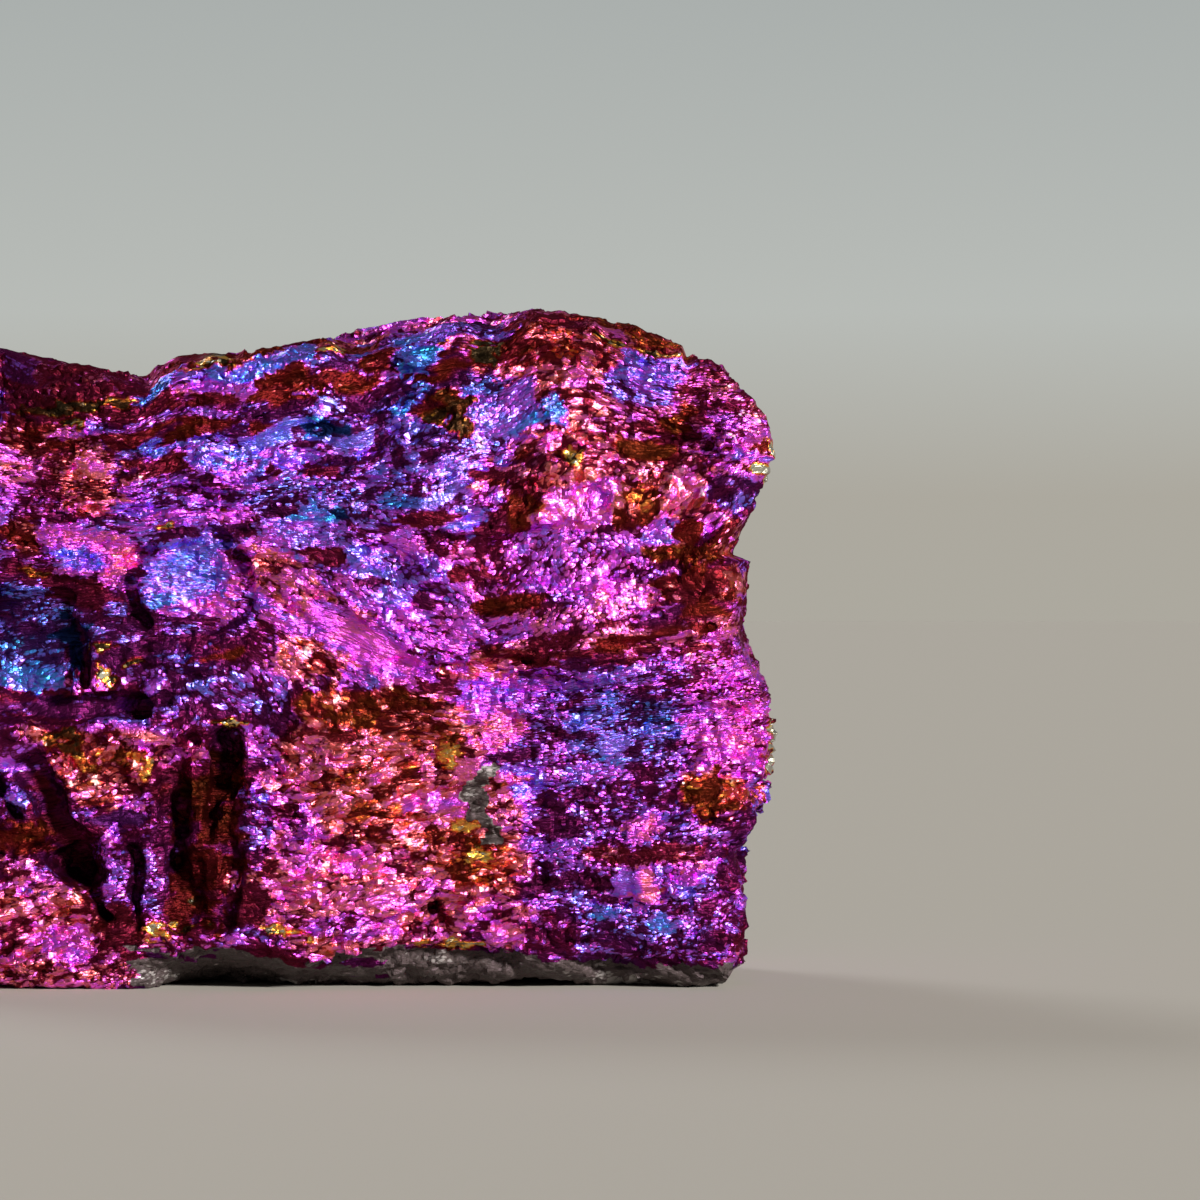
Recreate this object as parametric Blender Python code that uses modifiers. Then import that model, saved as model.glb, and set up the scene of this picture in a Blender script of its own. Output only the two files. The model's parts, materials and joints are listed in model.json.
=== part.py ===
"""Peacock ore specimen: one chunk of tarnished copper ore, broken out of its vein along rough fracture faces.

Metres, +Z up. The broad fracture face looks along -Y, the long side lies along X, and the origin is on the
flat base, in the middle of the chunk's bounding box. The chunk is one natural piece, so it is one node.
"""

import math

import bmesh
import bpy
from mathutils import Matrix, Vector

MM = 0.001

# Driving dimensions, in millimetres.
LENGTH = 70.0
DEPTH = 37.0
HEIGHT = 45.5

# The outline of the broad face, as (x, z), clockwise from the left end. x is 0 at mid length. The
# outlines run on to BELOW_BASE, where the flat base cuts them off.
LEFT_END = -LENGTH / 2
RIGHT_END = LENGTH / 2
BELOW_BASE = -1.0
FACE_OUTLINE = [
    (LEFT_END, 24.0),
    (LEFT_END + 1.2, 32.5),
    (LEFT_END + 4.0, 38.5),
    (LEFT_END + 8.0, 42.2),
    (LEFT_END + 13.0, 43.7),
    (-16.8, 43.0),
    (-11.8, 41.7),
    (-6.8, 40.9),  # the dip in the skyline
    (-3.0, 42.3),
    (3.1, 43.2),
    (9.9, 44.7),
    (15.9, HEIGHT - 0.2),
    (19.5, HEIGHT),
    (25.9, 44.5),
    (30.9, 42.2),
    (33.2, 39.8),
    (34.6, 37.6),
    (RIGHT_END, 35.6),
    (33.6, 31.6),
    (33.1, 28.3),
    (33.1, 23.7),
    (34.5, 21.2),
    (RIGHT_END, 16.5),
    (33.6, 11.0),
    (33.2, 5.0),
    (32.6, BELOW_BASE),
    (LEFT_END + 7.0, BELOW_BASE),
    (LEFT_END + 3.0, 7.0),
    (LEFT_END + 0.6, 15.0),
]

# The outline seen from above, as (x, y), and the outline seen from the right end, as (y, z).
# y is 0 at the broad face and DEPTH at the back.
PLAN_OUTLINE = [
    (LEFT_END - 1, 11.0),
    (-30.0, 3.4),
    (-22.0, 0.3),
    (-10.0, -0.8),
    (8.0, -0.2),
    (22.0, -0.9),
    (31.0, -0.2),
    (RIGHT_END + 1, 3.0),
    (RIGHT_END + 1, 19.0),
    (30.0, 28.0),
    (21.0, 34.5),
    (6.0, DEPTH),
    (-10.0, 35.5),
    (-24.0, 29.5),
    (-32.0, 21.0),
]
END_OUTLINE = [
    (0.4, BELOW_BASE),
    (-0.6, 8.0),
    (-0.9, 20.0),
    (-0.3, 34.0),
    (0.6, 42.0),
    (2.2, 44.6),
    (5.0, HEIGHT + 1),
    (17.0, HEIGHT + 1),
    (27.0, 41.5),
    (33.0, 33.0),
    (DEPTH, 21.0),
    (35.6, 10.0),
    (30.0, BELOW_BASE),
]

# Fracture planes: (name, a point on the plane, the direction that breaks away), in millimetres.
FRACTURES = [
    ("shoulder", (-11.8, 0.0, 39.1), (-0.23, -0.65, 0.69)),
    ("top_right", (20.0, 7.5, 45.6), (0.30, 0.26, 0.92)),
    ("top_left", (-14.0, 9.0, 42.6), (-0.16, 0.30, 0.94)),
    ("right_side", (34.6, 8.0, 24.0), (0.94, 0.28, 0.19)),
    ("left_front", (-28.0, 2.2, 20.0), (-0.62, -0.78, -0.08)),
    ("left_top", (-30.5, 12.0, 38.5), (-0.68, 0.16, 0.70)),
    ("back_right", (28.5, 27.0, 22.0), (0.78, 0.61, 0.12)),
    ("back_left", (-25.0, 27.0, 20.0), (-0.58, 0.80, 0.14)),
    ("back_top", (4.0, 27.5, 39.0), (0.14, 0.72, 0.68)),
    ("back_low", (2.0, 33.0, 4.5), (-0.06, 0.74, -0.67)),
    ("right_low", (33.5, 22.0, 3.0), (0.82, 0.22, -0.53)),
    ("left_low", (-30.0, 14.0, 4.0), (-0.74, 0.06, -0.67)),
]

# The undercut below the broad face's lower edge: where it starts, how high its front edge is at
# either end, how far back it meets the base, and how far its left wall swings to the right going back.
UNDERCUT_LEFT, UNDERCUT_RIGHT = -9.0, 36.0
UNDERCUT_HIGH, UNDERCUT_LOW = 3.2, 1.3
UNDERCUT_REACH = 4.5
UNDERCUT_SWING = math.radians(34.0)

# The rough relief of a broken face: two sizes of lump, each (size across, height), half in, half out.
SWELLS = (15.0, 2.2)
CHIPS = (5.2, 1.1)
HALF_OUT = 0.5
REMESH_VOXEL = 0.95
KEPT_FACES = 0.235

# How far the outlines and cutters reach past the chunk, and the cutters' sizes.
OVERSIZE = 60.0
PLANE_CUTTER = (3 * OVERSIZE, 3 * OVERSIZE, OVERSIZE)
UNDERCUT_CUTTER = (2 * OVERSIZE, 4 * OVERSIZE, 10.0)
SAME_POINT = 0.01

TARNISH = (0.36, 0.045, 0.30, 1.0)
TARNISH_METALLIC, TARNISH_ROUGHNESS = 0.85, 0.38


def clear_scene():
    for obj in list(bpy.data.objects):
        bpy.data.objects.remove(obj, do_unlink=True)


def new_collection(name):
    collection = bpy.data.collections.new(name)
    bpy.context.scene.collection.children.link(collection)
    return collection


def add_mesh_object(name, mesh, collection):
    obj = bpy.data.objects.new(name, mesh)
    collection.objects.link(obj)
    return obj


def hide_as_cutter(obj):
    obj.hide_render = True
    obj.display_type = "WIRE"
    return obj


def outline_prism(name, outline, turn, half_length, collection):
    """A flat outline, drawn as a 2D curve in millimetres and extruded both ways, turned into place."""
    curve = bpy.data.curves.new(name, "CURVE")
    curve.dimensions = "2D"
    curve.fill_mode = "BOTH"
    curve.extrude = half_length * MM
    spline = curve.splines.new("POLY")
    spline.points.add(len(outline) - 1)
    for point, (across, up) in zip(spline.points, outline):
        point.co = (across * MM, up * MM, 0.0, 1.0)
    spline.use_cyclic_u = True
    drawn = add_mesh_object(name + "_curve", curve, collection)
    drawn.matrix_world = turn
    bpy.context.view_layer.update()
    evaluated = drawn.evaluated_get(bpy.context.evaluated_depsgraph_get())
    mesh = bpy.data.meshes.new_from_object(evaluated)
    solid = bmesh.new()
    solid.from_mesh(mesh)
    bmesh.ops.remove_doubles(solid, verts=solid.verts, dist=SAME_POINT * MM)
    bmesh.ops.recalc_face_normals(solid, faces=solid.faces)
    solid.to_mesh(mesh)
    solid.free()
    prism = add_mesh_object(name, mesh, collection)
    prism.matrix_world = drawn.matrix_world.copy()
    bpy.data.objects.remove(drawn, do_unlink=True)
    return prism


def box_cutter(name, size, matrix, collection):
    """A box of the given size in millimetres, standing on its own origin."""
    mesh = bpy.data.meshes.new(name)
    box = bmesh.new()
    bmesh.ops.create_cube(box, size=1.0)
    bmesh.ops.translate(box, verts=box.verts, vec=(0.0, 0.0, 0.5))
    bmesh.ops.scale(box, verts=box.verts, vec=[side * MM for side in size])
    box.to_mesh(mesh)
    box.free()
    cutter = hide_as_cutter(add_mesh_object(name, mesh, collection))
    cutter.matrix_world = matrix
    return cutter


def fracture_cutter(name, point, outward, collection):
    """A box whose bottom face lies on the fracture plane and that reaches outwards from it."""
    turn = Vector(outward).to_track_quat("Z", "Y").to_matrix().to_4x4()
    place = Matrix.Translation(Vector(point) * MM) @ turn
    return box_cutter("fracture_" + name, PLANE_CUTTER, place, collection)


def undercut_cutter(collection):
    """A wide box below the plane that runs from the face's lower edge back and down to the base."""
    along = Vector((UNDERCUT_RIGHT - UNDERCUT_LEFT, 0.0, UNDERCUT_LOW - UNDERCUT_HIGH))
    back = Vector((0.0, UNDERCUT_REACH, -0.5 * (UNDERCUT_HIGH + UNDERCUT_LOW)))
    down = back.cross(along).normalized()
    across = along.normalized()
    inward = down.cross(across)
    turn = Matrix((across, inward, down)).transposed().to_4x4() @ Matrix.Rotation(UNDERCUT_SWING, 4, "Z")
    corner = Vector((UNDERCUT_LEFT, 0.0, UNDERCUT_HIGH)) * MM
    from_left_wall = Matrix.Translation((0.5 * UNDERCUT_CUTTER[0] * MM, 0.0, 0.0))
    place = Matrix.Translation(corner) @ turn @ from_left_wall
    return box_cutter("undercut", UNDERCUT_CUTTER, place, collection)


def base_cutter(collection):
    """Everything below the flat base."""
    place = Matrix.Rotation(math.pi, 4, "X")
    return box_cutter("base_plane", PLANE_CUTTER, place, collection)


def add_boolean(obj, operation, other):
    modifier = obj.modifiers.new(other.name, "BOOLEAN")
    modifier.operation = operation
    modifier.solver = "EXACT"
    modifier.object = other


def add_relief(obj, name, kind, size, height):
    """Lumps and hollows of one size in the broken faces."""
    texture = bpy.data.textures.new(name, kind)
    texture.noise_scale = size * MM
    modifier = obj.modifiers.new(name, "DISPLACE")
    modifier.texture = texture
    modifier.texture_coords = "LOCAL"
    modifier.mid_level = HALF_OUT
    modifier.strength = height * MM


def tarnish_material():
    material = bpy.data.materials.new("copper_tarnish")
    material.use_nodes = True
    shader = material.node_tree.nodes["Principled BSDF"]
    shader.inputs["Base Color"].default_value = TARNISH
    shader.inputs["Metallic"].default_value = TARNISH_METALLIC
    shader.inputs["Roughness"].default_value = TARNISH_ROUGHNESS
    return material


def finish_at_size(obj):
    """Brings the evaluated mesh to the driving dimensions, with the middle of its base at the origin."""
    bpy.context.view_layer.update()
    evaluated = obj.evaluated_get(bpy.context.evaluated_depsgraph_get())
    mesh = bpy.data.meshes.new_from_object(evaluated)
    mesh.transform(obj.matrix_world)
    low = [min(vertex.co[axis] for vertex in mesh.vertices) for axis in range(3)]
    high = [max(vertex.co[axis] for vertex in mesh.vertices) for axis in range(3)]
    middle = Vector((0.5 * (low[0] + high[0]), 0.5 * (low[1] + high[1]), low[2]))
    sides = [high[axis] - low[axis] for axis in range(3)]
    sized = Matrix.Diagonal([goal * MM / side for goal, side in zip((LENGTH, DEPTH, HEIGHT), sides)])
    mesh.transform(sized.to_4x4() @ Matrix.Translation(-middle))
    obj.modifiers.clear()
    obj.data = mesh
    obj.matrix_world = Matrix.Identity(4)


def build_chunk():
    parts = new_collection("peacock_ore_specimen")
    cutters = new_collection("cutters")
    upright = Matrix.Rotation(math.pi / 2, 4, "X")
    from_above = Matrix.Identity(4)
    from_end = Matrix(((0, 0, 1, 0), (1, 0, 0, 0), (0, 1, 0, 0), (0, 0, 0, 1)))

    chunk = outline_prism("ore_chunk", FACE_OUTLINE, upright, OVERSIZE, parts)
    for name, outline, turn in (
        ("plan_outline", PLAN_OUTLINE, from_above),
        ("end_outline", END_OUTLINE, from_end),
    ):
        prism = hide_as_cutter(outline_prism(name, outline, turn, OVERSIZE, cutters))
        add_boolean(chunk, "INTERSECT", prism)
    for name, point, outward in FRACTURES:
        add_boolean(chunk, "DIFFERENCE", fracture_cutter(name, point, outward, cutters))
    add_boolean(chunk, "DIFFERENCE", undercut_cutter(cutters))

    remesh = chunk.modifiers.new("even_skin", "REMESH")
    remesh.mode = "VOXEL"
    remesh.voxel_size = REMESH_VOXEL * MM
    add_relief(chunk, "swells", "CLOUDS", *SWELLS)
    add_relief(chunk, "chips", "STUCCI", *CHIPS)
    thin = chunk.modifiers.new("fewer_faces", "DECIMATE")
    thin.ratio = KEPT_FACES
    add_boolean(chunk, "DIFFERENCE", base_cutter(cutters))
    finish_at_size(chunk)
    chunk.data.materials.clear()
    chunk.data.materials.append(tarnish_material())
    chunk.data.shade_flat()


clear_scene()
build_chunk()
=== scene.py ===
# %% [markdown]
# # A lump of peacock ore
#
# Peacock ore is copper ore that has tarnished. The tarnish is a clear film a few hundred nanometres
# thick, and its thickness alone decides its colour, from gold through copper, pink and violet to blue.
# The lump is one solid piece broken out of a vein, so it is modelled as one closed mesh: a plain
# block-out gives the size, hollows are cut into it, and then its skin is broken up in finer and finer
# steps. Everything is measured in millimetres and turned into metres as it goes into Blender.

# %% Load the block-out
import json
import math

import bpy
import numpy as np
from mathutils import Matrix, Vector
from mathutils.bvhtree import BVHTree

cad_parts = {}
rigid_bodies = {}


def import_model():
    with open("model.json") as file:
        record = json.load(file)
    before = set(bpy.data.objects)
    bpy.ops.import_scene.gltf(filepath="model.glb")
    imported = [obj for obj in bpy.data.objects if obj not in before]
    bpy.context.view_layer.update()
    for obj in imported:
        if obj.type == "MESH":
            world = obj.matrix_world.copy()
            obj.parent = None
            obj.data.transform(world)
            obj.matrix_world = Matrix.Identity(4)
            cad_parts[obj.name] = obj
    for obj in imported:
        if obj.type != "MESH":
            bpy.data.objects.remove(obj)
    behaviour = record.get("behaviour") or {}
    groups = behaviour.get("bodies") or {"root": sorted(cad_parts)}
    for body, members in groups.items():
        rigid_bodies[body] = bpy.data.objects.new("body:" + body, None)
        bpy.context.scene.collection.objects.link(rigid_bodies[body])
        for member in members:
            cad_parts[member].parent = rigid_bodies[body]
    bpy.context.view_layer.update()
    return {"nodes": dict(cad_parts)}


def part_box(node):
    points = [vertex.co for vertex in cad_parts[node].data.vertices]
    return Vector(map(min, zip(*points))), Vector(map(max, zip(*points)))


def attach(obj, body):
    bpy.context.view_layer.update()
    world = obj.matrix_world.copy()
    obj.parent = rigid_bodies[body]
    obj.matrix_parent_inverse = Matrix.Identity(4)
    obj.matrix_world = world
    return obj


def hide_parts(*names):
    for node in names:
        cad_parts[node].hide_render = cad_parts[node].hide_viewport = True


MM = 0.001
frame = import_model()
block_low, block_high = [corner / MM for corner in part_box("ore_chunk")]
print("the block-out runs from", block_low, "to", block_high, "mm")

# %% [markdown]
# ## Sums in materials
#
# A material's maths is a chain of nodes, which is slow to read. Here a Wire stands for one output, and
# a sum written with wires adds the nodes that work it out. Any other node comes from add().

# %% A wire for material maths
class Wire:
    """One output in a material. Sums written with wires add the nodes that work them out."""

    def __init__(self, tree, socket=None):
        self.tree, self.socket = tree, socket

    def add(self, kind, settings=None, output=0, **sockets):
        """Adds any node: its settings first, then the values or wires of its sockets.

        A socket goes by its name, with _ for a space, or by its number, as in _0.
        """
        node = self.tree.nodes.new(kind)
        for name, value in (settings or {}).items():
            if name == "stops":
                ramp = node.color_ramp
                while len(ramp.elements) < len(value):
                    ramp.elements.new(1.0)
                for element, (place, colour) in zip(ramp.elements, value):
                    element.position = place
                    element.color = (*colour, 1.0)
            else:
                setattr(node, name, value)
        for name, value in sockets.items():
            socket = node.inputs[int(name[1:])] if name[0] == "_" else node.inputs[name.replace("_", " ")]
            if isinstance(value, Wire):
                self.tree.links.new(value.socket, socket)
            else:
                socket.default_value = value
        return Wire(self.tree, node.outputs[output])

    def math(self, operation, other):
        return self.add("ShaderNodeMath", {"operation": operation}, _0=self, _1=other)

    def __add__(self, other):
        return self.math("ADD", other)

    def __mul__(self, other):
        return self.math("MULTIPLY", other)

    def __sub__(self, other):
        return self.math("SUBTRACT", other)

    def __rsub__(self, other):
        return (self * -1.0) + other

    __radd__, __rmul__ = __add__, __mul__

    def between(self, start, end):
        """0 before start, 1 after end, and a smooth way between."""
        smooth = {"interpolation_type": "SMOOTHSTEP"}
        return self.add("ShaderNodeMapRange", smooth, _0=self, _1=start, _2=end)

    def vector(self, operation, other, output=0):
        return self.add("ShaderNodeVectorMath", {"operation": operation}, output, _0=self, _1=other)

    def blend(self, first, second):
        """A colour: first where this wire is 0, second where it is 1."""
        return self.add("ShaderNodeMix", {"data_type": "RGBA"}, 2, _0=self, _6=first, _7=second)

    def blend_in(self, way, other):
        """This colour with another one multiplied, or otherwise mixed, into it."""
        settings = {"data_type": "RGBA", "blend_type": way}
        return self.add("ShaderNodeMix", settings, 2, _0=1.0, _6=self, _7=other)


# %% [markdown]
# ## The studio
#
# A metal shows what it mirrors, so the light matters as much as the colour. One lamp at the right, a
# little above the lump, lights every flake that turns towards it and leaves the others dark, which is
# what makes the surface sparkle. A second, weak lamp lights the back. The sky is pale only near the
# horizon, as the wall of a studio is, and dim above, so that the dark flakes stay dark. The camera is
# level with the middle of the lump and far enough away to flatten it.

# %% Floor, sky, lamps and camera
FACE_Y = -18.0
PICTURE_MIDDLE = (23.2, 26.07)
PICTURE_WIDTH = 80.0
CAMERA_AWAY = 350.0
SENSOR = 36.0
FLOOR_SIZE = 12.0
FLOOR_COLOUR = (0.42, 0.39, 0.34, 1.0)
FLOOR_ROUGHNESS = 0.9
WHITE = (1.0, 1.0, 1.0, 1.0)
# Each lamp: (name, degrees across, degrees above, strength, softness in degrees, colour)
LAMPS = [
    ("key_lamp", 46.0, 24.0, 5.6, 8.0, (1.0, 0.98, 0.95)),
    ("back_lamp", 215.0, 32.0, 0.9, 20.0, (0.92, 0.96, 1.0)),
]
# The sky from the horizon up: (height, where 1 is straight up, colour)
SKY = [
    (0.000, (0.415, 0.395, 0.345)),
    (0.020, (0.415, 0.395, 0.345)),
    (0.055, (0.480, 0.500, 0.475)),
    (0.140, (0.370, 0.400, 0.395)),
    (0.320, (0.060, 0.065, 0.070)),
]
BACK_WALL = (-0.2, 0.5)  # how far back the pale wall starts and is full
FRONT_DIM = (0.5, 0.5, 0.5, 1.0)  # what is left of the sky in front of that wall


def plain_material(name, colour, roughness):
    material = bpy.data.materials.new(name)
    material.use_nodes = True
    shader = material.node_tree.nodes["Principled BSDF"]
    shader.inputs["Base Color"].default_value = colour
    shader.inputs["Roughness"].default_value = roughness
    return material


def add_lamp(name, across, above, strength, softness, colour):
    """A far lamp, across and above the camera's line of sight by these degrees."""
    turn = (math.radians(90.0 - above), 0.0, math.radians(across))
    bpy.ops.object.light_add(type="SUN", location=(0.0, 0.0, 0.5), rotation=turn)
    lamp = bpy.context.object
    lamp.name = name
    lamp.data.energy = strength
    lamp.data.angle = math.radians(softness)
    lamp.data.color = colour


bpy.ops.object.select_all(action="DESELECT")
bpy.ops.mesh.primitive_plane_add(size=FLOOR_SIZE, location=(0.0, 0.0, 0.0))
floor = bpy.context.object
floor.name = "floor"
floor.data.materials.append(plain_material("pale_floor", FLOOR_COLOUR, FLOOR_ROUGHNESS))

for lamp_settings in LAMPS:
    add_lamp(*lamp_settings)

world = bpy.data.worlds.new("studio")
bpy.context.scene.world = world
world.use_nodes = True
sky = Wire(world.node_tree)
direction = sky.add("ShaderNodeTexCoord")
upward = sky.add("ShaderNodeSeparateXYZ", None, 2, _0=direction)
backward = Wire(world.node_tree, upward.socket.node.outputs[1])
sky_colour = sky.add("ShaderNodeValToRGB", {"stops": SKY}, 0, Fac=upward)
sky_colour = backward.between(*BACK_WALL).blend(FRONT_DIM, WHITE).blend_in("MULTIPLY", sky_colour)
world.node_tree.links.new(sky_colour.socket, world.node_tree.nodes["Background"].inputs["Color"])

middle_x, middle_z = PICTURE_MIDDLE
camera_place = (middle_x * MM, (FACE_Y - CAMERA_AWAY) * MM, middle_z * MM)
bpy.ops.object.camera_add(location=camera_place, rotation=(math.radians(90.0), 0.0, 0.0))
camera = bpy.context.object
camera.data.sensor_width = SENSOR
camera.data.lens = SENSOR * CAMERA_AWAY / PICTURE_WIDTH
camera.data.clip_start = 0.01
bpy.context.scene.camera = camera
bpy.context.scene.view_settings.view_transform = "Standard"
print("lens", round(camera.data.lens, 1), "mm")

# %% [markdown]
# ## A working copy
#
# The block-out is a few thousand flat triangles. It stays as it is, and a copy of it is worked on. Its
# loose triangles are merged, and a Remesh modifier gives it even small faces, as clay has no faces of
# its own. A Smooth modifier then takes off the edges of the old triangles.

# %% Copy, merge and soften
MERGE_WITHIN = 0.001
CLAY_VOXEL = 0.5
SOFTEN_ROUNDS = 7


def select_only(*objects):
    bpy.ops.object.select_all(action="DESELECT")
    for one in objects:
        one.select_set(True)
    bpy.context.view_layer.objects.active = objects[0]


def finish_with(piece, kind, **settings):
    """Adds a modifier, sets it and applies it."""
    select_only(piece)
    modifier = piece.modifiers.new(kind.lower(), kind)
    for name, value in settings.items():
        setattr(modifier, name, value)
    bpy.ops.object.modifier_apply(modifier=modifier.name)


stone = bpy.data.objects.new("tarnished_ore_chunk", frame["nodes"]["ore_chunk"].data.copy())
bpy.context.scene.collection.objects.link(stone)
select_only(stone)
bpy.ops.object.mode_set(mode="EDIT")
bpy.ops.mesh.select_all(action="SELECT")
bpy.ops.mesh.remove_doubles(threshold=MERGE_WITHIN * MM)
bpy.ops.object.mode_set(mode="OBJECT")
bpy.ops.mesh.customdata_custom_splitnormals_clear()
stone.data.materials.clear()
finish_with(stone, "REMESH", mode="VOXEL", voxel_size=CLAY_VOXEL * MM)
finish_with(stone, "SMOOTH", factor=0.5, iterations=SOFTEN_ROUNDS)
print("working copy:", len(stone.data.vertices), "vertices")

# %% [markdown]
# ## Random numbers that come out the same each time
#
# A broken surface is random but not shapeless. Two patterns make nearly all of it. Clouds are smooth
# and give the lumps. Flakes cut space into cells and give each cell one flat facet, with its own height
# and its own tilt, as ore splits. Both start from a number worked out from a cell's place.

# %% Clouds and flakes
TO_LAMP = np.array([0.85, 0.0, 0.5])  # towards the key lamp, along the face
PRIMES = (374761393, 668265263, 2246822519, 3266489917)  # they scramble the places of the cells
LARGEST = 2.0**32 - 1.0
ROUND_SHIFT = 17.3  # each finer round of a cloud starts this far from the one before
OWNER_SEED, LEAN_SEED = 101, 7  # added to a seed for a flake's own numbers and for its tilt
LEAN_SPREAD = 9973.0  # spreads a flake's numbers over whole-number cells


def dice(cells, seed):
    """Three numbers from 0 to 1 for each whole-number cell, the same every time."""
    cell = cells.astype(np.int64).astype(np.uint32)
    first, second, third, fourth = [np.uint32(prime) for prime in PRIMES]
    mixed = cell[:, 0] * first + cell[:, 1] * second
    mixed = mixed + cell[:, 2] * third + np.uint32(seed * PRIMES[3] % 2**32)
    rolled = np.empty((len(cell), 3))
    for throw in range(3):
        mixed = (mixed ^ (mixed >> np.uint32(15))) * third
        mixed = (mixed ^ (mixed >> np.uint32(13))) * fourth
        mixed = mixed ^ (mixed >> np.uint32(16))
        rolled[:, throw] = mixed / LARGEST
    return rolled


def clouds(points, size, seed, rounds=3):
    """Smooth noise from about -1 to 1. Its largest lumps are size across."""
    total = np.zeros(len(points))
    for level in range(rounds):
        spot = points / size * 2**level + ROUND_SHIFT * level
        cell = np.floor(spot)
        part = spot - cell
        part = part * part * (3.0 - 2.0 * part)
        for corner in np.ndindex(2, 2, 2):
            near = np.prod(np.where(corner, part, 1.0 - part), axis=1)
            total += near * (dice(cell + corner, seed + level)[:, 0] * 2.0 - 1.0) / 2**level
    return total


def flakes(points, size, seed):
    """For each point: its flake's three random numbers, and its place in the flake, in millimetres."""
    size = np.asarray(size)
    spot = points / size
    cell = np.floor(spot)
    nearest = np.full(len(points), np.inf)
    owner = np.zeros_like(cell)
    inside = np.zeros_like(cell)
    for step in np.ndindex(3, 3, 3):
        candidate = cell + np.array(step) - 1.0
        away = spot - candidate - dice(candidate, seed)
        distance = (away * away).sum(axis=1)
        closer = distance < nearest
        nearest[closer] = distance[closer]
        owner[closer] = candidate[closer]
        inside[closer] = away[closer]
    return dice(owner, seed + OWNER_SEED), inside * size


def facets(points, size, seed, step, tilt):
    """Flat broken facets: height, a random tone, how far they face the lamp, and the place in each."""
    rolled, inside = flakes(points, size, seed)
    lean = dice(np.round(rolled * LEAN_SPREAD), seed + LEAN_SEED) - 0.5
    height = step * (rolled[:, 0] - 0.5) + tilt * (2.0 * lean * inside).sum(axis=1)
    return height, rolled[:, 1] - 0.5, -lean @ TO_LAMP, inside


def ease(value, start, end):
    """0 before start, 1 after end, and a smooth way between."""
    part = np.clip((value - start) / (end - start), 0.0, 1.0)
    return part * part * (3.0 - 2.0 * part)


print("three numbers from one cell:", dice(np.zeros((1, 3)), 1).round(3))

# %% [markdown]
# ## Small tools
#
# A mesh hands its numbers over all at once, as one long list, and takes them back in the same way, which
# is much faster than point by point. A remesh can leave crumbs, loose bits that float beside the lump or
# inside it. All that is joined to one point of the lump is selected, and the rest is deleted.

# %% Small tools
def numbers(items, name, width):
    """One property of every vertex, as rows of numbers."""
    found = np.empty(len(items) * width, np.float32)
    items.foreach_get(name, found)
    return found.reshape(-1, width).astype(float)


def put_back(mesh, spots):
    """Moves the vertices to these places, given in millimetres."""
    mesh.vertices.foreach_set("co", (spots * MM).astype(np.float32).ravel())
    mesh.update()


def drop_crumbs(piece):
    """Deletes the loose bits that a remesh leaves, outside and inside, and keeps the lump itself."""
    select_only(piece)
    bpy.ops.object.mode_set(mode="EDIT")
    bpy.ops.mesh.select_mode(type="VERT")
    bpy.ops.mesh.select_all(action="DESELECT")
    bpy.ops.object.mode_set(mode="OBJECT")
    furthest_right = int(numbers(piece.data.vertices, "co", 3)[:, 0].argmax())
    piece.data.vertices[furthest_right].select = True
    bpy.ops.object.mode_set(mode="EDIT")
    bpy.ops.mesh.select_linked()
    bpy.ops.mesh.select_all(action="INVERT")
    bpy.ops.mesh.delete(type="VERT")
    bpy.ops.object.mode_set(mode="OBJECT")


def wander_of(spots, size, seed):
    """Smooth noise with three directions."""
    return np.column_stack([clouds(spots, size, seed + turn, 2) for turn in range(3)])


print("the working copy is", np.ptp(numbers(stone.data.vertices, "co", 3), axis=0).round(4), "m in size")

# %% [markdown]
# ## Hollows
#
# The face kept the moulds of crystals that fell out: long thin slots of blades, a deep pocket, a
# three-cornered pit, and a ring-shaped crack round a flat disc. Each is a box, cone or torus set into
# the face. They overlap, so they are first remeshed into one body. That body is roughened, because no
# break is straight, and one Boolean cuts it out.

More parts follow.
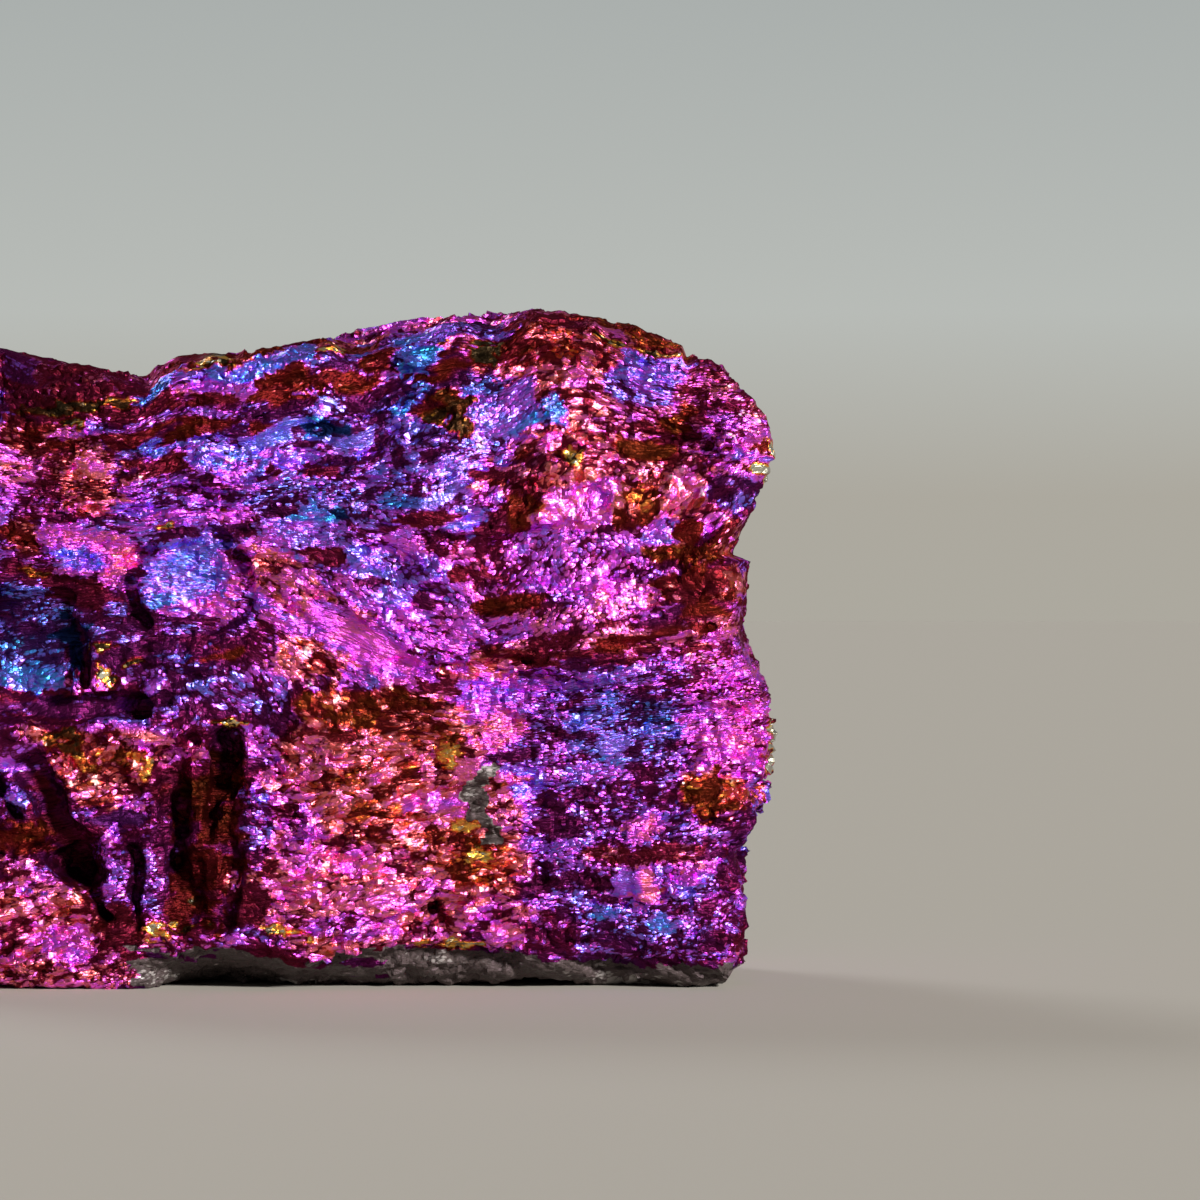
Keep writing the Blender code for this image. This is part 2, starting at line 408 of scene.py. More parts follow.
# %% Set the cutters into the face
# Each box: (name, x, z, width, height, depth, turn in degrees clockwise, swing of its floor in degrees)
BOXES = [
    ("shelf_under_plate", -10.0, 23.6, 15.0, 6.4, 0.5, 19, -4),
    ("blue_pocket", -15.6, 23.2, 6.8, 7.4, 2.4, 2, -6),
    ("pocket_edge", -11.5, 22.4, 0.65, 5.2, 2.4, -14, 0),
    ("blade_mould", -12.4, 18.9, 11.2, 1.5, 1.5, 0, 3),
    ("blade_mould_end", -8.1, 18.6, 2.2, 0.6, 2.1, 4, 0),
    ("blade_mould_corner", -7.4, 18.9, 1.3, 1.0, 1.9, 0, 0),
    ("worn_bay", -3.6, 10.4, 5.6, 12.4, 0.8, 3, 0),
    ("left_slot", -5.1, 10.5, 1.3, 11.8, 1.6, -5, 0),
    ("left_slot_right", -4.5, 8.2, 0.9, 7.6, 1.3, 3, 0),
    ("left_slot_core", -4.95, 10.2, 0.5, 6.0, 2.5, -3, 0),
    ("left_slot_foot", -5.2, 5.4, 1.3, 3.0, 1.2, 6, 0),
    ("left_slot_head", -4.2, 16.0, 0.7, 3.2, 1.3, 16, 0),
    ("left_slot_left", -5.8, 13.4, 0.8, 4.6, 1.2, -9, 0),
    ("left_slot_rib", -3.7, 13.2, 0.5, 5.0, 1.2, 6, 0),
    ("right_slot", -1.5, 16.1, 1.6, 2.3, 2.2, 3, 0),
    ("right_slot_low", -1.9, 14.2, 0.9, 3.2, 3.0, 9, 0),
    ("right_slot_corner", -1.1, 14.0, 0.8, 1.6, 1.6, -12, 0),
    ("right_slot_side", -2.5, 12.6, 0.6, 3.4, 2.0, 16, 0),
    ("right_slot_tail", -1.4, 10.6, 0.8, 6.0, 1.0, -3, 0),
    ("right_slot_foot", -2.7, 8.0, 0.9, 5.0, 1.0, 6, 0),
    ("slanting_mould", -12.9, 11.2, 9.8, 2.0, 2.0, 63, 4),
    ("slanting_mould_head", -16.9, 13.3, 5.0, 0.9, 1.8, 60, 0),
    ("pit_floor", -11.4, 8.6, 1.2, 2.6, 3.8, 10, 0),
    ("pit_left", -13.9, 9.4, 2.4, 0.8, 1.5, -12, 0),
    ("pit_tail", -10.3, 5.9, 0.8, 3.0, 1.8, -36, 0),
    ("pit_brow", -11.6, 10.6, 2.2, 0.7, 1.6, 24, 0),
    ("slot_by_block", -7.9, 7.8, 0.85, 3.8, 1.7, 3, 0),
    ("slot_by_block_foot", -7.7, 5.2, 0.6, 2.2, 1.3, -9, 0),
    ("slot_by_block_head", -8.6, 9.5, 1.3, 0.6, 1.1, 22, 0),
    ("crack_left_of_pink", -13.35, 34.6, 0.5, 3.4, 1.0, 2, 0),
    ("crack_over_plate", -11.0, 32.0, 4.6, 0.35, 0.8, -1, 0),
    ("crack_beside_plate", -9.05, 31.3, 0.35, 1.8, 0.8, 10, 0),
    ("lower_crack", 12.3, 4.6, 0.7, 3.8, 1.8, -11, 0),
    ("long_fissure", 18.9, 9.0, 0.4, 4.8, 1.0, -4, 0),
    ("long_fissure_top", 18.3, 16.6, 0.4, 2.6, 0.9, 8, 0),
    ("fissure_foot", 19.5, 7.2, 0.4, 2.0, 0.9, -6, 0),
    ("fissure_arm", 21.2, 7.5, 4.4, 0.4, 0.9, 6, 0),
    ("blue_block_edge", 22.6, 17.0, 0.4, 2.6, 1.0, 0, 0),
    ("edge_notch", 33.2, 29.05, 1.6, 0.35, 12.0, -3, 0),
    ("edge_slot", 33.0, 32.2, 2.4, 0.3, 3.0, 2, 0),
    ("indigo_nook", 30.7, 32.8, 2.4, 0.5, 1.0, 12, 0),
    ("lens_shadow", 30.6, 24.4, 3.0, 0.4, 1.0, 4, 0),
    ("brow_shadow", 24.0, 42.9, 7.4, 0.35, 0.8, 3, 0),
    ("disc_gap_right", -0.5, 28.1, 0.8, 2.4, 1.0, -16, 0),
    ("disc_gap_left", -8.0, 27.6, 0.55, 2.6, 1.5, -2, 0),
    ("disc_gap_left_top", -7.1, 29.5, 0.55, 2.6, 1.6, 42, 0),
    ("disc_gap_left_low", -7.45, 25.7, 0.5, 2.1, 1.3, -33, 0),
]
PIT = (-12.0, 8.3, 2.5, 3.4)  # x, z, radius and depth of the three-cornered pit
PIT_TURN, PIT_FLOOR = 38.0, 0.85  # its turn in degrees, and the radius of its floor against its mouth
RINGS = [(-4.1, 27.15, 4.0, 0.25), (-4.2, 27.1, 4.05, 0.26)]  # x, z, radius and half width of each crack
RING_SQUASH, RING_DEEPEN = 0.82, 4.5
OVER_FACE = 3.0  # how far a cutter stands out of the face
FACE_END = 31.2  # right of this the face turns away, and a cutter is set as deep as here
CUTTER_VOXEL = 0.16
ROUGH_BREAK = [(1.9, 0.40, 91), (0.6, 0.16, 95)]  # size and height of the roughness, seed
FINE_VOXEL = 0.25


def face_at(x, z):
    """How far back the broad face is at this place, found by a ray from the front."""
    hit, place = stone.ray_cast(Vector((x, -100.0, z)) * MM, (0.0, 1.0, 0.0))[:2]
    return place.y / MM if hit else FACE_Y


def cutter_middle(x, z, depth):
    """How far back the middle of a cutter lies that reaches this deep into the face."""
    return (face_at(x, z) + 0.5 * (depth - OVER_FACE)) * MM


uncut = BVHTree.FromObject(stone, bpy.context.evaluated_depsgraph_get())
cutters = []
for name, x, z, width, height, depth, turn, swing in BOXES:
    back = cutter_middle(min(x, FACE_END), z, depth)
    turned = (0.0, math.radians(turn), math.radians(swing))
    bpy.ops.mesh.primitive_cube_add(size=MM, location=(x * MM, back, z * MM), rotation=turned)
    box = bpy.context.object
    box.name = name
    box.scale = (width, depth + OVER_FACE, height)
    cutters.append(box)

x, z, radius, depth = PIT
turned = (math.radians(90.0), math.radians(PIT_TURN), 0.0)
bpy.ops.mesh.primitive_cone_add(vertices=3, radius1=PIT_FLOOR * radius * MM, radius2=radius * MM,
                                depth=(depth + OVER_FACE) * MM, rotation=turned,
                                location=(x * MM, cutter_middle(x, z, depth), z * MM))
cutters.append(bpy.context.object)
for x, z, radius, half_width in RINGS:
    bpy.ops.mesh.primitive_torus_add(location=(x * MM, face_at(x, z) * MM, z * MM),
                                     rotation=(math.radians(90.0), 0.0, 0.0),
                                     major_radius=radius * MM, minor_radius=half_width * MM)
    ring = bpy.context.object
    ring.scale = (1.0, RING_SQUASH, RING_DEEPEN)
    cutters.append(ring)

select_only(*cutters)
bpy.ops.object.transform_apply(location=True, rotation=True, scale=True)
bpy.ops.object.join()
hollows = bpy.context.object
finish_with(hollows, "REMESH", mode="VOXEL", voxel_size=CUTTER_VOXEL * MM)
spots = numbers(hollows.data.vertices, "co", 3) / MM
for size, height, seed in ROUGH_BREAK:
    spots += height * wander_of(spots, size, seed)
put_back(hollows.data, spots)
finish_with(stone, "BOOLEAN", operation="DIFFERENCE", solver="EXACT", object=hollows)
bpy.data.objects.remove(hollows, do_unlink=True)
finish_with(stone, "REMESH", mode="VOXEL", voxel_size=FINE_VOXEL * MM)
finish_with(stone, "SMOOTH", factor=0.5, iterations=2)
print(len(cutters), "hollows cut,", len(stone.data.vertices), "vertices")

# %% [markdown]
# ## How the layers run
#
# The ore is layered, and the layers were folded before the lump broke out. They climb to the right at
# the upper left, dive through the middle and lie nearly level at the right. A few slopes, each at one
# place, say this. Between them the slope is blended, and adding the slopes up from left to right gives
# how high each layer has climbed. Taking that climb off a point's height straightens the layers, so a
# pattern worked out with the straightened height follows every fold, inside the lump as well. How
# fast the climb may change with height is limited, so that the layers never cross.

# %% Straighten the layers
# Each: (x, z, slope), the slope being the rise per millimetre to the right
LAYER_SLOPES = [
    (-30.0, 36.0, -0.12), (-28.0, 12.0, 0.05), (-13.0, 41.0, -0.15), (-10.0, 37.5, 0.16),
    (0.0, 41.0, 0.27), (7.0, 40.5, 0.33), (14.0, 43.0, 0.12), (23.0, 44.0, -0.16),
    (-3.0, 36.0, 0.10), (-9.0, 32.0, 0.03), (5.0, 34.0, 0.16), (14.0, 35.0, 0.26),
    (0.0, 30.5, 0.0), (9.0, 31.0, -0.1), (-12.0, 23.5, 0.10), (3.0, 26.0, -0.42),
    (9.5, 23.5, -0.55), (14.0, 26.5, -0.15), (18.0, 25.6, 0.22), (24.0, 29.0, 0.04),
    (27.0, 25.0, 0.06), (31.0, 36.0, 0.17), (27.0, 19.0, 0.18), (21.0, 13.0, 0.05),
    (31.0, 12.0, 0.10), (9.0, 14.0, 0.12), (3.0, 7.0, 0.15), (-11.0, 14.0, 0.08),
    (-12.0, 5.0, 0.10), (24.0, 5.0, 0.02),
]
SLOPE_GRID = 0.5
SLOPE_STRETCH = 1.4  # a slope counts this much further to the sides than up and down
SLOPE_SOFT, SLOPE_FALL = 3.0, 1.6  # how softly one slope gives way to the next
DIP_BACK = 0.05
CLIMB_CHANGE = (-0.8, 0.4)
FACE_LEFT, FACE_RIGHT = -17.0, 33.0  # the layers keep their mean height between these
columns = np.arange(block_low.x - 2.0, block_high.x + 2.0, SLOPE_GRID)
rows = np.arange(block_low.z - 2.0, block_high.z + 2.0, SLOPE_GRID)
grid_x, grid_z = np.meshgrid(columns, rows, indexing="ij")
pull, slope = np.full(grid_x.shape, 1e-9), np.zeros(grid_x.shape)
for x, z, rise in LAYER_SLOPES:
    near = 1.0 / (((grid_x - x) / SLOPE_STRETCH)**2 + (grid_z - z)**2 + SLOPE_SOFT)**SLOPE_FALL
    pull += near
    slope += near * rise
climb = np.cumsum(slope / pull, axis=0) * SLOPE_GRID
climb -= climb[(columns > FACE_LEFT) & (columns < FACE_RIGHT)].mean(axis=0)
change = np.clip(np.diff(climb, axis=1) / SLOPE_GRID, *CLIMB_CHANGE) * SLOPE_GRID
half = len(rows) // 2
belt = climb[:, [half]]
below = belt - np.cumsum(change[:, :half][:, ::-1], axis=1)[:, ::-1]
above = belt + np.cumsum(change[:, half:], axis=1)
climb = np.hstack([below, belt, above])


def layered(points):
    """The points with their layers straightened: the third number is the place across the layers."""
    across = np.clip((points[:, 0] - columns[0]) / SLOPE_GRID, 0, len(columns) - 1.001)
    up = np.clip((points[:, 2] - rows[0]) / SLOPE_GRID, 0, len(rows) - 1.001)
    column, row = across.astype(int), up.astype(int)
    right, over = across - column, up - row
    low = climb[column, row] * (1 - right) + climb[column + 1, row] * right
    high = climb[column, row + 1] * (1 - right) + climb[column + 1, row + 1] * right
    straight = points.copy()
    straight[:, 2] -= low * (1 - over) + high * over + DIP_BACK * (points[:, 1] - FACE_Y)
    return straight


print("the layers climb from", climb.min().round(1), "to", climb.max().round(1), "mm")

# %% [markdown]
# ## What lies where on the face
#
# The broad face is a patchwork. Each patch has a place, a size, a turn and a film thickness. Its painted
# light says how much of it is painted as lit: the rest is painted shade, the deep maroon that the film
# shows where the light misses it. The skin of a patch is flaky, grainy, fine or smooth, and the patch may
# lean towards the lamp or away from it.
# Later patches lie over earlier ones, as strokes of paint do, and clouds push their outlines about so
# that none is an oval.

# %% The patches of the face
FLAKY, GRAINY, FINE, SMOOTH = range(4)
BARE = -1.0
# Film thickness from 0 to 1, or BARE for bare grey rock: 0 silver, .1 gold, .2 copper, .3 crimson,
# .4 salmon, .5 pink, .57 magenta, .66 violet, .74 lavender, .82 blue violet, .92 blue, 1 teal.
# Each: (name, x, z, half length, half height, turn, film, painted light, skin, lean). The painted light is
# how much of the patch is painted as lit rather than in painted shade: above 1 brighter, below 0 darker.
PATCHES = [
    # the top, from the left
    ("upper_ground", 3.0, 36.0, 15.0, 7.5, -12, 0.69, 0.40, FLAKY, 0.0),
    ("shoulder", -15.0, 40.9, 9.5, 2.8, 8, 0.47, 0.22, FINE, -0.05),
    ("shoulder_purple", -16.2, 41.4, 2.4, 1.3, 10, 0.68, 0.25, SMOOTH, 0.0),
    ("olive_band", -11.6, 39.1, 4.0, 0.38, -12, 0.15, 0.35, FINE, 0.0),
    ("olive_band_left", -14.4, 38.5, 1.5, 0.35, -5, 0.15, 0.30, FINE, 0.0),
    ("dark_under_band", -14.8, 36.6, 2.6, 1.4, 0, 0.38, 0.15, FINE, 0.0),
    ("pale_spot", -11.7, 38.1, 0.6, 0.3, -10, 0.07, 0.70, FINE, 0.1),
    ("magenta_spot", -12.4, 37.2, 1.1, 0.55, -5, 0.57, 0.90, FINE, 0.1),
    ("crimson_ground_left", -11.2, 34.6, 2.5, 2.4, 0, 0.38, 0.35, FINE, 0.0),
    ("pink_left_edge", -15.9, 34.2, 1.3, 1.0, 0, 0.49, 0.85, GRAINY, 0.15),
    ("pink_flake_left", -10.5, 35.0, 1.3, 0.6, 0, 0.50, 1.00, SMOOTH, 0.2),
    ("pale_pink_row", -10.9, 32.6, 1.9, 0.55, -3, 0.42, 0.85, GRAINY, 0.1),
    ("crimson_left_edge", -15.4, 30.2, 1.5, 1.3, 0, 0.30, 0.12, FINE, 0.0),
    ("rim_line", 1.5, 42.4, 9.5, 0.5, -11, 0.27, 0.12, FINE, 0.0),
    ("dark_knob", -4.4, 42.0, 2.5, 0.7, -6, 0.29, 0.0, SMOOTH, 0.0),
    ("gold_beads_on_knob", -2.4, 41.5, 1.5, 0.2, -12, 0.08, 0.55, FINE, 0.1),
    ("gold_bead_on_rim", 5.2, 43.2, 0.7, 0.25, -10, 0.06, 0.90, FINE, 0.1),
    ("skyline_grey", -6.8, 40.0, 1.3, 0.5, -28, 0.86, 0.60, FINE, 0.0),
    ("skyline_magenta", -3.3, 39.7, 2.3, 0.5, -8, 0.60, 0.90, FINE, 0.15),
    ("skyline_blue", 1.0, 41.5, 3.5, 0.8, -17, 0.79, 0.95, FINE, 0.15),
    ("dark_band_left", -2.4, 39.0, 3.9, 0.4, -7, 0.40, 0.03, SMOOTH, -0.1),
    ("crimson_band", 4.0, 40.1, 3.6, 0.95, -14, 0.30, 0.02, FLAKY, -0.12),
    ("crimson_band_tail", 8.6, 42.3, 2.2, 0.6, -12, 0.29, 0.05, FLAKY, -0.1),
    ("line_in_crimson", 4.0, 39.6, 1.9, 0.15, -10, 0.66, 0.90, FINE, 0.1),
    ("violet_row", -4.0, 38.3, 4.7, 0.55, -4, 0.68, 0.55, FLAKY, 0.0),
    ("crimson_lens", -3.4, 37.2, 3.0, 0.5, -6, 0.31, 0.0, FLAKY, -0.1),
    ("crimson_lens_tip", -8.0, 37.2, 1.9, 0.5, -3, 0.33, 0.05, FLAKY, -0.1),
    ("blue_ledge_small", -6.9, 36.6, 1.0, 0.5, 0, 0.80, 0.90, FINE, 0.1),
    ("pale_ledge", 2.1, 37.1, 1.8, 0.85, -20, 0.78, 1.20, SMOOTH, 0.2),
    ("teal_between_ledges", 4.5, 37.6, 0.9, 0.4, -15, 0.97, 0.40, FINE, 0.0),
    ("pale_ledge_right", 6.9, 37.4, 1.9, 0.75, -18, 0.76, 1.20, SMOOTH, 0.2),
    ("ledge_cluster", -2.2, 35.3, 2.3, 1.2, 5, 0.73, 0.95, FINE, 0.12),
    ("ledge_cluster_pink", -1.2, 34.7, 0.8, 0.45, 30, 0.55, 1.00, FINE, 0.15),
    ("magenta_ledge", 2.8, 35.4, 1.9, 0.55, -6, 0.62, 0.90, FINE, 0.1),
    ("maroon_gap_left", -6.3, 35.1, 2.0, 0.6, 0, 0.42, 0.10, FLAKY, -0.1),
    ("maroon_gap", 1.5, 34.3, 3.6, 0.35, -6, 0.42, 0.05, FLAKY, -0.2),
    ("violet_bead", 2.2, 34.0, 0.9, 0.3, 10, 0.66, 1.00, FINE, 0.1),
    ("speckled_row", -5.2, 33.6, 3.9, 0.9, -2, 0.63, 0.50, FLAKY, 0.0),
    ("dark_row", 3.3, 33.0, 5.0, 0.65, -3, 0.72, 0.25, FINE, 0.0),
    ("blue_cluster", 4.0, 32.0, 1.1, 0.5, 0, 0.86, 0.90, FINE, 0.1),
    ("grey_cluster", 5.9, 31.9, 0.9, 0.4, 0, 0.98, 0.10, GRAINY, 0.0),
    ("lavender_right", 8.4, 32.3, 1.7, 1.2, -10, 0.74, 0.80, FLAKY, 0.05),
    ("band_over_disc", -5.6, 31.6, 3.2, 0.6, 0, 0.66, 0.90, FLAKY, 0.1),
    ("band_over_disc_right", -0.9, 31.6, 1.9, 0.6, -3, 0.60, 0.85, FLAKY, 0.1),
    ("gold_over_disc", -5.8, 31.0, 0.7, 0.28, -8, 0.07, 0.85, FINE, 0.15),
    ("gold_bead", -2.2, 32.0, 0.4, 0.15, 0, 0.09, 0.70, FINE, 0.1),
    ("pale_blue_flakes", 5.3, 29.9, 1.8, 0.5, 5, 0.90, 0.80, FINE, 0.1),
    # the upper right
    ("blue_shadow", 9.5, 43.6, 2.6, 0.8, -12, 0.83, 0.50, FLAKY, 0.0),
    ("top_rim", 13.5, 44.2, 5.2, 1.0, -5, 0.71, 0.55, FLAKY, 0.0),
    ("top_magenta", 17.3, 45.0, 1.4, 0.4, -5, 0.56, 0.80, FINE, 0.1),
    ("crimson_under_top", 12.9, 41.8, 1.4, 0.9, -15, 0.30, 0.12, SMOOTH, -0.1),
    ("azure_streak", 10.9, 41.9, 1.5, 0.3, -35, 0.89, 1.10, SMOOTH, 0.2),
    ("blue_slant", 10.4, 40.0, 1.7, 0.75, -35, 0.84, 0.70, FINE, 0.05),
    ("blue_field", 15.0, 38.0, 4.6, 3.4, -15, 0.74, 0.50, FLAKY, 0.0),
    ("olive_patch", 13.6, 39.5, 1.7, 0.8, -20, 0.15, 0.05, FLAKY, 0.0),
    ("olive_patch_low", 13.9, 37.6, 1.1, 0.8, 30, 0.11, 0.15, GRAINY, 0.0),
    ("dark_by_olive", 11.9, 39.0, 1.2, 0.5, -10, 0.32, -0.10, FLAKY, 0.0),
    ("grey_top", 15.6, 42.7, 1.2, 0.6, -25, 0.02, 0.15, GRAINY, 0.0),
    ("copper_by_grey", 17.8, 43.0, 1.3, 0.9, 0, 0.30, 0.25, GRAINY, 0.0),
    ("blue_nook", 16.0, 40.8, 0.8, 0.9, 0, 0.81, 0.75, FINE, 0.0),
    ("pale_nook", 17.3, 41.3, 1.2, 0.8, 0, 0.42, 0.80, GRAINY, 0.1),
    ("lavender", 17.5, 39.0, 2.2, 1.3, -10, 0.68, 0.85, FINE, 0.08),
    ("lavender_low", 17.8, 35.8, 1.5, 0.9, -15, 0.71, 0.85, FINE, 0.05),
    ("pink_grains", 22.0, 39.6, 3.2, 3.4, 0, 0.42, 0.52, GRAINY, 0.0),
    ("deep_blue", 20.1, 37.9, 1.0, 0.9, 0, 0.82, 0.85, FINE, 0.0),
    ("brow", 22.0, 44.3, 3.6, 1.0, 6, 0.40, 0.20, FINE, -0.05),
    ("brow_right", 25.6, 43.7, 3.4, 0.85, 13, 0.23, 0.25, FLAKY, -0.05),
    ("brow_line", 25.2, 42.75, 3.2, 0.16, 3, 0.09, 0.60, FINE, 0.0),
    ("lilac_corner", 26.2, 40.7, 2.9, 1.9, 0, 0.74, 0.70, FINE, 0.0),
    ("lilac_stripe", 25.8, 40.4, 0.8, 1.4, -10, 0.72, 1.00, FINE, 0.15),
    ("right_shoulder", 30.8, 39.4, 2.8, 2.4, 30, 0.45, 0.40, FINE, 0.0),
    ("copper_right", 28.3, 38.2, 1.4, 0.8, -30, 0.25, 0.50, FINE, 0.0),
    ("crimson_row", 25.0, 37.4, 2.2, 0.5, -5, 0.38, 0.40, FINE, 0.0),
    ("brown_lens", 25.0, 36.0, 2.2, 0.75, -5, 0.22, 0.05, SMOOTH, -0.12),
    ("pink_grains_low", 21.0, 35.4, 3.0, 1.6, 0, 0.42, 0.66, GRAINY, 0.05),
    ("gold_spot", 21.1, 35.0, 0.8, 0.6, 0, 0.10, 1.00, GRAINY, 0.0),
    ("rim_magenta", 31.4, 36.4, 3.2, 2.6, 0, 0.55, 0.75, FINE, 0.08),
    ("rim_crimson", 32.8, 36.4, 2.0, 0.4, 0, 0.29, 0.0, SMOOTH, -0.15),
    ("rim_violet_line", 32.8, 35.7, 1.9, 0.2, 0, 0.72, 1.00, SMOOTH, 0.2),
    ("rim_crimson_low", 33.4, 35.0, 1.6, 0.45, 0, 0.33, 0.0, SMOOTH, -0.15),
    ("rim_indigo", 31.8, 33.3, 2.4, 1.1, 8, 0.72, 0.40, FINE, -0.05),
    ("pink_right_of_plate", 28.2, 33.2, 1.6, 1.9, 0, 0.44, 0.75, GRAINY, 0.05),
    ("brown_right_of_plate", 25.4, 32.2, 1.7, 1.6, -20, 0.32, 0.35, GRAINY, 0.0),
    ("maroon_over_chip", 16.2, 34.5, 2.2, 0.4, 5, 0.42, 0.05, SMOOTH, -0.1),
    ("beige_chip", 15.0, 33.7, 1.1, 0.28, -5, 0.41, 0.75, GRAINY, 0.1),
    ("blue_ledge", 12.0, 32.8, 2.1, 0.8, -6, 0.77, 1.00, SMOOTH, 0.15),
    ("azure_by_ledge", 9.2, 32.9, 1.0, 0.7, -5, 0.85, 0.90, FINE, 0.1),
    ("violet_ledge", 14.6, 31.5, 2.3, 1.1, -15, 0.70, 0.85, FLAKY, 0.05),
    ("dark_line", 11.9, 31.3, 2.2, 0.35, -9, 0.42, 0.0, SMOOTH, -0.3),
    ("brown_by_plate", 18.2, 31.7, 1.1, 1.2, 0, 0.29, 0.05, FINE, 0.0),
    # the middle and the right
    ("right_middle", 22.0, 28.3, 7.0, 2.6, 0, 0.60, 0.70, FINE, 0.0),
    ("violet_knot", 27.2, 30.7, 1.0, 0.9, 0, 0.66, 0.80, FINE, 0.0),
    ("crimson_right", 29.3, 30.7, 1.2, 0.9, 0, 0.28, 0.0, SMOOTH, -0.1),
    ("crimson_right_edge", 32.2, 30.4, 1.2, 0.9, 0, 0.34, 0.20, FINE, 0.0),
    ("muted_band", 29.8, 29.2, 3.4, 0.6, 0, 0.25, 0.30, FINE, 0.0),
    ("crimson_field", 30.2, 27.0, 3.4, 1.5, 0, 0.35, 0.40, GRAINY, 0.0),
    ("right_lens", 30.4, 25.4, 2.9, 0.75, 2, 0.28, 0.0, SMOOTH, -0.1),
    ("magenta_bright", 24.9, 26.0, 2.3, 1.4, 0, 0.55, 0.95, FINE, 0.1),
    ("bright_plate", 21.5, 32.0, 2.5, 1.65, 2, 0.53, 1.45, FINE, 0.32),
    ("middle_sweep", 9.5, 24.8, 11.0, 4.6, 25, 0.62, 0.90, FLAKY, 0.06),
    ("violet_sweep", 7.8, 28.3, 6.0, 1.8, 20, 0.70, 0.85, FLAKY, 0.06),
    ("maroon_line", 5.7, 28.9, 2.3, 0.28, 8, 0.48, 0.05, FLAKY, -0.2),
    ("middle_dark_arc", 15.3, 27.7, 1.7, 0.25, 12, 0.45, 0.0, SMOOTH, -0.2),
    ("middle_lens", 17.8, 25.6, 2.1, 0.75, -22, 0.33, -0.05, FLAKY, -0.12),
    ("magenta_fold", 20.8, 24.9, 2.4, 1.0, -5, 0.53, 0.80, FINE, 0.05),
    ("pink_grains_by_disc", 2.4, 27.2, 3.0, 1.7, 40, 0.45, 0.90, GRAINY, 0.05),
    ("pink_sweep", 7.0, 23.6, 5.0, 1.2, 32, 0.53, 1.05, SMOOTH, 0.15),
    ("brown_bead", 4.3, 25.4, 0.75, 0.65, 0, 0.20, 0.30, SMOOTH, 0.0),
    ("flow_line", 10.0, 26.6, 3.6, 0.16, 26, 0.62, 0.0, SMOOTH, -0.2),
    ("flow_line_low", 9.8, 23.0, 3.2, 0.14, 32, 0.62, 0.0, SMOOTH, -0.2),
    ("salmon_fold", 3.2, 21.9, 2.4, 1.5, 10, 0.41, 0.80, GRAINY, 0.05),
    ("sweep_end", 9.9, 20.4, 1.5, 0.6, 8, 0.53, 1.00, SMOOTH, 0.2),
    ("maroon_by_sweep", 12.7, 20.2, 1.8, 0.6, -5, 0.45, 0.05, SMOOTH, -0.1),
    ("salmon_knot", 16.3, 22.0, 2.0, 1.1, -10, 0.41, 0.80, GRAINY, 0.05),
    ("violet_knob", 16.0, 20.0, 1.8, 1.0, 0, 0.65, 0.90, FINE, 0.1),
    ("disc", -4.1, 27.2, 3.8, 3.1, 0, 0.74, 1.20, FINE, 0.20),
    ("disc_right", -1.4, 27.4, 1.1, 2.2, 0, 0.59, 1.00, GRAINY, 0.2),
    ("disc_lower", -3.7, 25.0, 2.5, 1.1, -8, 0.50, 1.25, GRAINY, 0.25),
    ("disc_azure", -6.2, 26.1, 0.8, 0.6, -30, 0.87, 0.95, FINE, 0.1),
    ("left_plate", -11.0, 29.6, 3.0, 2.0, 6, 0.56, 1.25, FINE, 0.22),
    ("left_plate_blue", -11.7, 28.9, 2.1, 0.85, 6, 0.77, 1.20, FINE, 0.1),
    ("left_plate_right", -8.8, 29.1, 0.9, 1.5, 0, 0.50, 1.25, FINE, 0.18),
    ("left_plate_tail", -9.4, 27.3, 1.3, 0.55, 24, 0.57, 1.15, FINE, 0.1),
    ("dark_wedge", -12.4, 26.9, 4.8, 0.8, 19, 0.50, 0.05, FINE, 0.0),
    ("brown_in_wedge", -14.6, 27.8, 0.9, 0.35, 10, 0.18, 0.45, FINE, 0.0),
    # the lower right
    ("indigo_field", 24.6, 13.0, 8.2, 10.0, 0, 0.66, 0.43, FINE, 0.0),
    ("crimson_folds", 25.0, 23.2, 7.0, 1.3, -8, 0.45, 0.40, FLAKY, 0.0),
    ("crimson_fold", 25.5, 23.6, 4.2, 0.4, -10, 0.31, 0.0, SMOOTH, -0.15),
    ("blue_block", 24.8, 17.5, 3.7, 2.6, 0, 0.77, 0.45, FINE, 0.0),
    ("blue_facet", 24.1, 16.4, 1.2, 0.8, -8, 0.76, 1.00, SMOOTH, 0.15),
    ("rim_magenta_low", 31.8, 18.0, 3.2, 4.6, 0, 0.56, 0.75, FINE, 0.08),
    ("magenta_flash", 32.2, 16.4, 1.5, 1.1, 0, 0.55, 1.00, FINE, 0.15),
    # painted highlight: silver film painted where the right rim catches the lamp
    ("rim_painted_glint_low", 35.0, 15.9, 0.6, 1.7, 0, 0.0, 1.00, FINE, 0.1),
    ("copper_patch", 30.8, 12.8, 2.9, 1.5, 0, 0.29, 0.50, GRAINY, 0.0),
    ("crimson_in_copper", 30.6, 13.4, 0.7, 1.3, 0, 0.27, 0.0, SMOOTH, 0.0),
    ("maroon_rows", 27.0, 9.0, 6.0, 0.7, 0, 0.45, 0.25, FLAKY, 0.0),
    ("pink_flash", 26.3, 10.8, 1.5, 0.8, -5, 0.52, 1.20, FINE, 0.3),
    ("magenta_row", 30.5, 7.8, 1.3, 0.7, -15, 0.55, 0.95, FINE, 0.1),
    ("dark_foot", 27.9, 3.0, 5.2, 1.2, 0, 0.66, 0.35, FINE, 0.0),
    ("corner_violet", 31.2, 4.6, 2.2, 2.4, 0, 0.66, 0.42, FINE, 0.0),
    ("violet_nook", 21.4, 6.3, 1.9, 1.0, 0, 0.67, 0.60, FINE, 0.0),
    ("blue_flakes", 23.9, 5.2, 1.3, 0.5, 0, 0.81, 0.90, FINE, 0.05),
